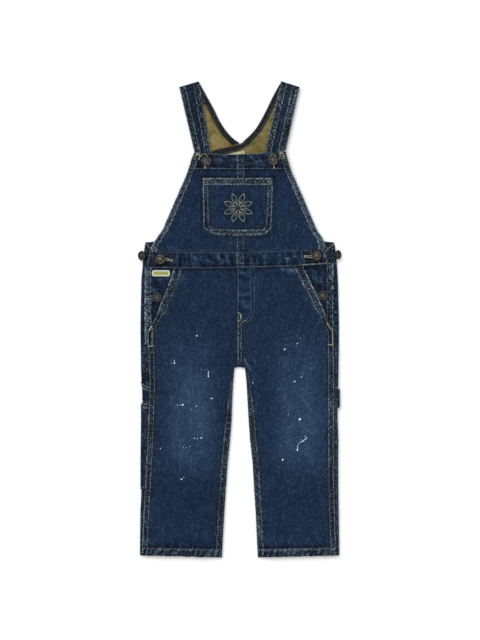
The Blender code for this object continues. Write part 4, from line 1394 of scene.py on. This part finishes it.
class Needle:
    # Lays thread on one piece of cloth, from above or from underneath, as one mesh
    def __init__(self, node, below=False):
        self.node, self.below = node, below
        self.bm = bmesh.new()
        self.dye = self.bm.verts.layers.float_color.new("dye")
        self.count = 0

    def drop(self, point):
        start = Vector((point[0], point[1], -30 if self.below else 60)) * mm
        hit, normal, _, _ = surfaces[self.node].ray_cast(start, Vector((0, 0, 1 if self.below else -1)))
        return (hit / mm, normal) if hit else (None, None)

    def stitch(self, start, end, colour, width=0.95, high=threadHeight):
        a, up = self.drop(start)
        b, _ = self.drop(end)
        if a is None or b is None or abs(a.z - b.z) > 1.5:
            return
        x = (b - a).normalized()
        y = up.cross(x).normalized()
        turn = Matrix((x, y, x.cross(y))).transposed().to_4x4()
        size = Matrix.Diagonal(((b - a).length, width, high, 1))
        placed = Matrix.Translation((a + b) / 2 + up * 0.12) @ turn @ size
        before = len(self.bm.verts)
        self.bm.from_mesh(stitch)
        self.bm.verts.ensure_lookup_table()
        fresh = self.bm.verts[before:]
        bmesh.ops.transform(self.bm, matrix=Matrix.Scale(mm, 4) @ placed, verts=fresh)
        self.count += 1
        shade = 1 + 0.28 * grain(self.count * 3.7, 0, 5, 2)
        for vert in fresh:
            vert[self.dye] = (*(c * shade for c in dyes[colour][:3]), 1)

    def run(self, points, colours, pitch=3.7, width=1.05, mixed=0.4, share=0.64):
        # Stitches end to end along a line of points. A second colour comes in patches.
        colour, *second = colours.split()
        path, travelled, reach = [Vector(p) for p in points], 0.0, 0.0
        for a, b in zip(path, path[1:]):
            length = (b - a).length
            while reach + pitch * 0.5 < travelled + length:
                t0 = clamp((reach - travelled) / length)
                t1 = clamp((reach + pitch * share - travelled) / length)
                if t1 > t0:
                    patch = grain(reach, len(points), 14, width * 9) > 1 - 2 * mixed
                    dye = second[0] if second and patch else colour
                    self.stitch(a.lerp(b, t0), a.lerp(b, t1), dye, width)
                reach += pitch
            travelled += length

    def satin(self, points, width, colour="lime", pitch=0.7, thick=0.8):
        # Threads side by side across a line of points
        path = [Vector(p) for p in points]
        for a, b in zip(path, path[1:]):
            along = (b - a).normalized()
            side = Vector((-along.y, along.x)) * width / 2
            for t in steps(0, 1, pitch / max((b - a).length, pitch)):
                spot = a.lerp(b, t)
                wobble = along * 0.25 * grain(spot.x * 9, spot.y * 9, 5, 8)
                self.stitch(spot - side + wobble, spot + side + wobble, colour, thick, 0.9)

    def tacks(self, *rows):
        for x, y, angle, length, width, colour in rows:
            reach = direction(math.radians(angle)) * length / 2
            self.satin([Vector((x, y)) - reach, Vector((x, y)) + reach], width, colour)

    def buttonhole(self, start, end, width, colour):
        # Thread round a slit, with one dark strand along the slit for the painted shade in its opening
        start, end = Vector(start), Vector(end)
        across = Vector((start.y - end.y, end.x - start.x)).normalized() * width
        for side in (-0.5, 0.5):
            self.satin([start + across * side, end + across * side * 0.6], 0.95, colour, 0.75)
        angle = math.degrees(math.atan2(end.y - start.y, end.x - start.x)) + 90
        self.tacks((*end, angle, width * 0.9, 1.0, colour))
        # Painted shade: a dark strand in the slit's opening
        self.stitch(start, end, "dark", 0.8)

    def done(self, name):
        threads.setdefault(self.node, []).append(addPiece(name, self.bm, "thread", sharp=80))


threads = {}


def seamLine(side, column, rows, inset):
    # A line beside one edge of a leg, at an inset that may change on the way down
    line = [(sideSign[side] * (legAt(side, column, y) + inset(y)), y) for y in rows]
    return [(x, legY(y, x)) for x, y in line]


def upright(x, start, end, pitch=8):
    return [(x, y) for y in steps(start, end, pitch)]


def legThreads(side):
    sign, left = sideSign[side], side == "left"
    needle = Needle("front_leg_" + side)
    mouth, rest, lower = steps(82, -8, 6), steps(-12, -392, 8), steps(-90 if left else -104, -392, 8)
    for column, rows, inset, colours, width, mixed in (
        ("seam", mouth, lambda y: -1.8, "pale grey", 1.05, 0.4),
        ("seam", mouth, lambda y: 0.6 - outerBand(y), "grey olive", 1.05, 0.4),
        ("seam", rest, lambda y: -1.5, "pale olive", 1.1, 0.45),
        ("seam", rest, lambda y: -8.8, "grey olive", 1.05, 0.5),
        ("inner", lower, lambda y: inseamBand(side, y) / 4, "grey olive", 0.8, 0.4),
        ("inner", lower, lambda y: inseamBand(side, y) - 1.2, "olive grey", 0.8, 0.5),
    ):
        needle.run(seamLine(side, column, rows, inset), colours, width=width, mixed=mixed)
    reach = [innerEdge(side, -380) + sign * 2, sign * (legAt(side, "seam", -380) - 2)]
    hem = [(x, legY(legHem - 3.2, x)) for x in steps(*reach, 6)]
    needle.run(hem, "pale olive" if left else "grey olive", width=1.1)
    if left:
        # The mock fly's J, the crotch seam and their tacks
        for x, corner in ((18.0, 20.0), (24.4, 18.0)):
            foot, turns = -4 - (x - 18) * 0.6, steps(0, 1.5, 0.15)
            arc = [(mix(4.0, x, math.cos(a)), mix(corner, foot, math.sin(a))) for a in turns]
            needle.run(upright(x, 84, corner, 6) + arc, "grey dark", 3.4, 0.9, share=0.56)
        needle.run(upright(flyEdge + 1.2, 84, -76), "pale olive", mixed=0.35)
        needle.run(upright(flyEdge + 6.2, -6, -76), "olive grey")
        needle.tacks(
            (-0.2, 9.6, -35, 7, 1.5, "gold"), (1.7, 4.2, 98, 6, 1.9, "beige"),
            (4.4, 1.6, 86, 6, 1.6, "dark"), (-1.9, -3.0, 55, 4.4, 1.9, "gold"),
            (8.6, -2.8, 20, 6, 1.4, "moss"), (24.0, 37.0, 0, 12, 1.2, "dark"),
            (148.4, -12.4, -55, 15, 2.6, "lime"), (153.2, -31.4, 91, 26, 1.4, "gold"),
            (149.8, -42.0, 0, 8, 1.7, "gold"),
        )
    else:
        needle.run(upright(flyEdge - 2.0, 60, -72), "dark", width=0.7)
        needle.tacks((-148.8, -17.2, 56, 14, 2.7, "lime"))
        needle.run([(-144.6, -15), (-144.8, -44)], "moss lime", 3.0, 1.2)
        needle.run([(-151.6, -28), (-151.4, -44)], "olive", 3.0, 1.1)
        needle.tacks((-147.8, -44.5, 0, 8.5, 1.7, "lime"))
    needle.done(f"leg_thread_{side}")


def backThreads(side):
    sign = sideSign[side]
    needle = Needle("back_leg_" + side, below=True)
    for inset, colour in ((2.6, "grey"), (9.0, "olive")):
        line = seamLine(side, "inner", steps(-84, -392, 8), lambda y: inset)
        needle.run(line, colour + " grey", width=0.8)
    needle.run([(x, legY(legHem, x)) for x in steps(sign * 31, sign * 158, 6)], "olive grey")
    if side == "left":
        for x in (2.4, 8.4):
            needle.run(upright(x, 84, -74), "olive grey", mixed=0.35)
    needle.done(f"back_leg_thread_{side}")


def facingThreads(side):
    needle = Needle("pocket_facing_" + side)
    for inset, colour in ((2.2, "pale"), (facingHem - 0.8, "grey")):
        x = sideSign[side] * (facingLook[side]["edge"] - inset)
        needle.run([(x, legY(y, x)) for y in steps(82, -38, 6)], colour + " grey", width=0.85)
    if side == "right":
        needle.buttonhole((-144.5, 36.0), (-154.8, 36.0), 5.0, "pale")
        # The worn tab beside the label, edged in pale thread
        tab = [(-147, 78.6), (-156.4, 78.6), (-158, 76.8), (-158, 73), (-156.4, 71.2), (-147, 71.2)]
        needle.run(tab, "pale", 2.2)
        for y in (77, 75.6, 74.2, 72.8):
            needle.run([(-146, y), (-156.6, y)], "olive", 1.9, 1.3)
    needle.done(f"facing_thread_{side}")


def pocketThreads():
    needle = Needle("utility_pocket_upper")
    for down in (0, 5.2):
        needle.run([(-163.3, -105 - down), (-158, -109.2 - down), (-151, -112.8 - down)], "pale", 2.6, 1.7)
    needle.done("utility_thread_upper")
    needle = Needle("utility_pocket_lower")
    for y in (-140.2, -146.4):
        needle.run([(-163.4, y), (-151, y)], "pale", 2.8, 1.5)
    needle.run(upright(-156, -152, -278), "grey dark", width=0.7)
    needle.tacks((-157.5, -278, 0, 7, 1.6, "grey"))
    needle.done("utility_thread_lower")
    needle = Needle("hammer_loop")
    for x in (158.6, 162.6):
        needle.run(upright(x, -116, -145, 5), "dark", 2.6, 0.7)
    needle.done("hammer_loop_thread")


def waistThreads():
    for side, sign in sideSign.items():
        needle = Needle("front_waistband_" + side)
        foot, head = bandLook["foot"][side], bandLook["head"][side]
        start = bibSeam - 1.6 if sign < 0 else bibSeam
        low = [(x, waistFoot(x) + (0.5 if sign < 0 else 1.1)) for x in steps(start, sign * (foot - 2), 6)]
        needle.run(low, "grey pale", width=0.95)
        high = [(x, waistHead(x) - 0.9) for x in steps(start, sign * (head - 2), 6)]
        needle.run(high, "grey olive", width=0.85)
        needle.run([(sign * (foot - 2.2), 90), (sign * (head - 1.8), 109)], "pale")
        if side == "right":
            needle.buttonhole((-123.5, 99.4), (-111.5, 97.0), 3.2, "beige")
        else:
            extra = [(x, waistFoot(x) + 1.6) for x in steps(104, 146, 6)]
            needle.run(extra, "lime pale", width=1.1, mixed=0.5)
            needle.tacks((147.2, 90.4, 62, 6, 1.4, "lime"))
            needle.buttonhole((119.5, 103.0), (107.0, 103.8), 3.2, "beige")
            for inset, colour in ((1.4, "pale"), (bibStrip - 1.8, "grey")):
                needle.run([(bibSeam + inset, y) for y in (87, 110)], colour, width=0.8)
        needle.done(f"waistband_thread_{side}")
    needle = Needle("back_waistband")
    for sign in (-1, 1):
        needle.run([(sign * 155.4, 124.4), (sign * 147.0, 117.2), (sign * 140, 111.6)], "pale", 2.8, 1.7)
    needle.done("back_waistband_thread")
    needle = Needle("back_waistband", below=True)
    needle.run([(x, waistFoot(x) + 2.6) for x in steps(-150, 150, 6)], "pale olive")
    needle.run([(x, 126.4) for x in steps(-150, 150, 6)], "pale olive")
    needle.done("back_waistband_thread_under")


def bibThreads():
    for side, sign in sideSign.items():
        needle = Needle("bib_" + side)
        for inset, colour in ((1.7, "pale"), (9.2, "grey")):
            line = [(sign * (bibEdge(side, y) - inset), y) for y in steps(268, 113, 5)]
            needle.run([(x, bibY(y, x)) for x, y in line], colour + " olive", width=0.85, mixed=0.35)
        start = bibSeam - 1.5 if sign < 0 else bibSeam + 1
        band = [(x, bibY(bibHem + 0.6, x) + 0.4) for x in steps(start, sign * (bibEdge(side, 248) - 2), 5)]
        needle.run(band, "olive pale", width=0.95, mixed=0.5)
        needle.run([(x, bibTop(x) - 1.9) for x in steps(start, sign * 73, 5)], "grey dark", width=0.75)
        if side == "left":
            for inset, colours, width in ((1.6, "pale grey", 0.85), (bibStrip - 1.6, "grey dark", 0.8)):
                needle.run(upright(bibSeam + inset, 270, 113, 6), colours, width=width)
            needle.satin([(66, 272.6), (69, 275), (72.6, 273)], 2.0)
            needle.tacks((73, 268, 100, 7, 1.6, "lime"), (66.5, 268.6, 80, 5, 1.3, "lime"))
        else:
            needle.satin([(-64.4, 270), (-69, 272.4), (-73.6, 270)], 2.0)
            needle.tacks((-66.5, 266, 70, 6, 1.5, "lime"))
        # Upright buttonhole: its rounded head shows above the button and its tail below
        x = {"right": -58.2, "left": 55.4}[side]
        turns = steps(0.15, math.pi - 0.15, 0.28)
        needle.satin([(x + 5.0 * math.cos(a), 267.6 + 5.0 * math.sin(a)) for a in turns], 1.5, "moss", 0.8)
        needle.tacks((x + 1.2, 251.6, 90, 5.6, 1.7, "cream"))
        needle.done(f"bib_thread_{side}")


def circle(centre, radius):
    return [Vector(centre) + direction(a) * radius for a in steps(0, 2 * math.pi, 0.4)]


def rosette(needle, centre, petals, hub, tip):
    # A plain stitched flower: pointed petals in outline round two small rings
    for radius in hub:
        needle.run(circle(centre, radius), "lime", 1.9, 1.0, share=0.9)
    centre = Vector(centre)
    for k in range(petals):
        middle = 2 * math.pi * (k + 0.5) / petals
        for side in (-1, 1):
            leaf = []
            for t in steps(0, 1, 0.125):
                spread = side * 0.30 * math.sin(math.pi * t ** 0.8) * (1 - 0.25 * t)
                leaf.append(centre + direction(middle + spread) * mix(hub[-1] + 1.4, tip, t))
            needle.run(leaf, "lime cream", 2.6, 1.0, 0.5, 0.9)
        vein = [centre + direction(middle) * reach for reach in (hub[-1] + 3, tip * 0.6)]
        needle.run(vein, "gold", 2.6, 0.85, share=0.88)


def chestThreads():
    needle = Needle("chest_pocket")
    for inset, colour in ((1.6, "pale"), (8.0, "grey")):
        low, high = -61 + inset, 55 - inset
        foot, cut = 140.4 + inset, 0.55 * inset
        line = [(low, 231), (low + 0.8, 151 + cut), (low + 16 - cut, foot), (-3, foot - 1.4)]
        line += [(high - 13 + cut, foot), (high - 2.4, 150 + cut), (high, 231)]
        needle.run(line, colour + " olive", width=1.0, mixed=0.3)
    for y, colours, width, mixed in ((222.8, "pale lime", 1.0, 0.3), (231.2, "grey olive", 0.8, 0.4)):
        needle.run([(x, y) for x in steps(-59, 53, 6)], colours, width=width, mixed=mixed)
    for x, colour in ((-55.6, "moss"), (49.6, "lime")):
        needle.run(circle((x, 227.6), 2.9), colour, 1.6, 1.2)
    rosette(needle, (-2.5, 184), 8, (1.0, 4.6), 25.0)
    needle.done("chest_pocket_thread")


def strapThreads():
    for side, sign in sideSign.items():
        shape = strapEnds[side]
        needle = Needle("strap_" + side)
        for inset, colours in ((1.6, "pale grey"), (9.6, "grey pale")):
            for outside in (True, False):
                ends = []
                reach = inset + strapLook["wider"][side] * (outside and inset > 5)
                for outer, inner in ((shape.outerEnd, shape.innerEnd), (shape.outerTop, shape.innerTop)):
                    width = (Vector(inner) - Vector(outer)).length
                    t = reach / width if outside else 1 - reach / width
                    point = pointBetween(outer, inner, t)
                    ends.append((sign * point.x, point.y))
                needle.run(ends, colours, width=0.85, mixed=0.5)
        needle.done(f"strap_thread_{side}")
        needle = Needle("neck_binding_" + side)
        for edge, colour in ((False, "dust"), (True, "grey")):
            line = []
            for v in steps(0.3, 7.0 if side == "right" else 10.0, 0.35):
                row = backAt(side, v)
                point = bindingPoint(row, row.band - 1.7 if edge else 1.3)
                line.append((sign * point.x, point.y))
            needle.run(line, colour + " dark", 3.4, 0.8)
        needle.done(f"binding_thread_{side}")


for side in sideSign:
    legThreads(side)
    backThreads(side)
    facingThreads(side)
pocketThreads()
waistThreads()
bibThreads()
chestThreads()
strapThreads()
print("thread laid")

# Paint: (x, y, radius, stretch along, angle) of each drop, and the tails that some of them trail
drops = {
    "right": [
        (-70.8, -27.4, 1.7), (-107.8, -72.4, 1.5, 1.2, 80), (-112.8, -72.5, 0.6, 1.3, 10),
        (-63.2, -82.9, 0.6), (-57, -84, 0.5), (-53.5, -82.5, 0.5), (-51.6, -94.4, 1.4, 1.1, 90),
        (-46.3, -130.6, 1.3, 1.6), (-112.4, -130, 0.6), (-102.7, -141.8, 0.9, 1.2),
        (-93.9, -141.4, 1.8, 1.15, 20), (-97.4, -141.6, 0.8, 2.0, 8), (-71, -143.5, 0.9, 1.5, 60),
        (-79.6, -149, 0.8, 1.2, 30), (-74.6, -196.5, 1.0, 1.2), (-70, -197, 0.9, 1.1),
        (-63.2, -195.8, 1.6, 1.2, 15), (-93, -211.5, 0.7, 1.1), (-88, -212, 0.7, 1.1),
        (-82, -210, 0.8, 1.2, 20), (-131, -213.5, 0.7, 2.4, 90), (-96, -264, 1.5, 1.3, 60),
        (-92, -261, 0.8, 1.3, 40),
    ],
    "left": [
        (77, -33, 0.7), (100, -32, 0.6), (95.2, -40, 1.2), (74.4, -49.6, 1.8), (102, -95.7, 1.2),
        (90.8, -102.8, 1.5, 1.1), (22, -105, 1.0, 1.2, 60), (80.5, -157, 0.8, 1.2, 90),
        (99.2, -165.2, 2.3, 1.15, 70), (110, -196.3, 1.3, 1.2, 40), (108.4, -193.2, 0.8, 1.4, 100),
        (104.4, -201.2, 1.2, 1.7, 30), (101, -199.4, 0.6, 1.3, 60), (95.4, -216, 1.8, 1.1, 90),
        (71, -232, 1.6, 1.25, 50),
    ],
}
tails = {
    "right": [((-107.8, -71), (-107.4, -67), 0.32), ((-51.6, -93), (-51.6, -85.5), 0.36)],
    "left": [
        ((95.5, -214.5), (96.0, -208), 0.45), ((96.0, -208), (98.6, -203.6), 0.32),
        ((98.6, -203.6), (102.8, -202), 0.32), ((105, -200.6), (108.8, -197.6), 0.38),
    ],
}
paintLook = {"height": 0.42, "mist": 20, "mistRadius": 0.28}


def spatter(side):
    needle = Needle("front_leg_" + side)
    bm = bmesh.new()

    def blob(x, y, radius, stretch=1.0, angle=0.0):
        hit, _ = needle.drop((x, y))
        if hit is None:
            return
        made = bmesh.ops.create_icosphere(bm, subdivisions=2, radius=1.0)["verts"]
        for vert in made:
            around = math.atan2(vert.co.y, vert.co.x)
            swell = 1 + 0.16 * grain(math.cos(around) * 9 + x, math.sin(around) * 9 + y, 6, 3)
            vert.co.x *= swell
            vert.co.y *= swell
        size = Matrix.Diagonal((radius * stretch, radius, min(paintLook["height"], radius * 0.5), 1))
        turn = Matrix.Rotation(math.radians(angle), 4, "Z")
        onto = Matrix.Scale(mm, 4) @ Matrix.Translation(hit)
        bmesh.ops.transform(bm, matrix=onto @ turn @ size, verts=made)

    for x, y, radius, *shape in drops[side]:
        blob(x, y, radius * 0.80, *shape)
    for start, end, radius in tails[side]:
        for t in steps(0, 1, radius * 0.9 / (Vector(end) - Vector(start)).length):
            x, y = Vector(start).lerp(Vector(end), t)
            blob(x + 0.15 * grain(x * 9, y * 9, 5, 6), y, radius * (1 + 0.8 * grain(x * 6, y * 6, 5, 8)))
    # A fine mist of specks round the larger drops
    for k in range(paintLook["mist"]):
        x, y, *_ = drops[side][k % len(drops[side])]
        away, turn = 5 + 9 * abs(grain(k * 5.3, 1, 5, 7)), 2.4 * k
        radius = paintLook["mistRadius"] * (0.6 + 0.5 * abs(grain(k * 3, 2, 5, 9)))
        blob(x + away * math.cos(turn), y + away * math.sin(turn), radius)
    return addPiece(f"paint_spatter_{side}", bm, "paint")


for side in sideSign:
    threads["front_leg_" + side].append(spatter(side))
print("paint on")

# The cut of each piece: flat width and length in metres, its area, and what it lies on
cuts = {
    "front_leg_right": ((0.152, 0.479), 0.0640, "back_leg_right"),
    "front_leg_left": ((0.158, 0.479), 0.0650, "back_leg_left"),
    "back_leg_right": ((0.184, 0.479), 0.0800, "floor"),
    "back_leg_left": ((0.184, 0.479), 0.0790, "floor"),
    "pocket_facing_right": ((0.065, 0.127), 0.0055, "back_leg_right"),
    "pocket_facing_left": ((0.067, 0.127), 0.0053, "back_leg_left"),
    "utility_pocket_upper": ((0.094, 0.031), 0.0025, "back_leg_right"),
    "utility_pocket_lower": ((0.094, 0.142), 0.0130, "back_leg_right"),
    "hammer_loop": ((0.080, 0.031), None, "back_leg_left"),
    "front_waistband_right": ((0.149, 0.026), None, "back_waistband"),
    "front_waistband_left": ((0.154, 0.026), None, "back_waistband"),
    "back_waistband": ((0.404, 0.045), 0.0170, "floor"),
    "bib_right": ((0.143, 0.162), 0.0160, "strap_right"),
    "bib_left": ((0.145, 0.162), 0.0175, "strap_left"),
    "chest_pocket": ((0.116, 0.094), 0.0104, "bib_left"),
    "strap_right": ((0.252, 0.420), 0.0360, "floor"),
    "strap_left": ((0.250, 0.420), 0.0360, "strap_right"),
    "neck_binding_right": ((0.016, 0.124), 0.0013, "strap_right"),
    "neck_binding_left": ((0.017, 0.180), 0.0020, "strap_left"),
    "neck_label": ((0.034, 0.014), None, "neck_binding_left"),
    "hip_label": ((0.0296, 0.0102), None, "pocket_facing_right"),
}
onCloth = {
    f"{node}_{side}": [caps[place, side]] for side in sideSign
    for node, place in (("bib", "bib"), ("front_waistband", "waist"), ("pocket_facing", "placket"))
}
for node, (flat, area, below) in cuts.items():
    going = threads.get(node, []) + onCloth.get(node, [])

# Stage
stageLook = {
    "floor": -1.2, "lens": 100.0, "away": 2.941, "aim": (0.0005, -0.0012),
    "sun": 2.15, "sky": 0.50, "glow": 0.16,
}


def seenRay(graph):
    # 1 for what the camera sees, straight, mirrored or through something clear
    names = ("Is Camera Ray", "Is Glossy Ray", "Is Transmission Ray")
    camera, glossy, through = graph.outputs("LightPath", {}, names)
    return graph.math("MINIMUM", camera + glossy + through, 1.0)


def stage():
    scene, look = bpy.context.scene, stageLook
    bm = bmesh.new()
    bmesh.ops.create_grid(bm, x_segments=2, y_segments=2, size=4.0)
    bmesh.ops.translate(bm, verts=bm.verts, vec=(0, 0, look["floor"] * mm))
    mesh = meshFrom("floor", bm)
    f = Finish("pale_floor", roughness=0.9)
    f.set("Base Color", (0.93, 0.93, 0.93, 1))
    bare = Wire(f, f.shader.outputs[0])
    lit = f.node("AddShader", {}, {0: bare, 1: f.glow("Emission", look["glow"])})
    shown = f.node("MixShader", {}, {0: seenRay(f), 1: bare, 2: lit})
    f.plug(f.nodes["Material Output"].inputs["Surface"], shown)
    mesh.materials.append(f.material)
    floor = put("floor", mesh)

    scene.world = bpy.data.worlds.new("studio")
    scene.world.use_nodes = True
    g = Graph(scene.world.node_tree)
    sky, white = g.glow("Background", look["sky"]), g.glow("Background", 1.0)
    pick = g.node("MixShader", {}, {0: seenRay(g), 1: sky, 2: white})
    g.plug(g.nodes["World Output"].inputs["Surface"], pick)

    sun = bpy.data.lights.new("window", "SUN")
    sun.energy = look["sun"]
    sun.angle = math.radians(50)
    put("window", sun).rotation_euler = (math.radians(-34), math.radians(-30), 0)

    camera = bpy.data.cameras.new("camera")
    camera.lens = look["lens"]
    camera.sensor_width = 36
    scene.camera = put("camera", camera)
    scene.camera.location = (*look["aim"], look["away"])
    scene.view_settings.view_transform = "Standard"


stage()
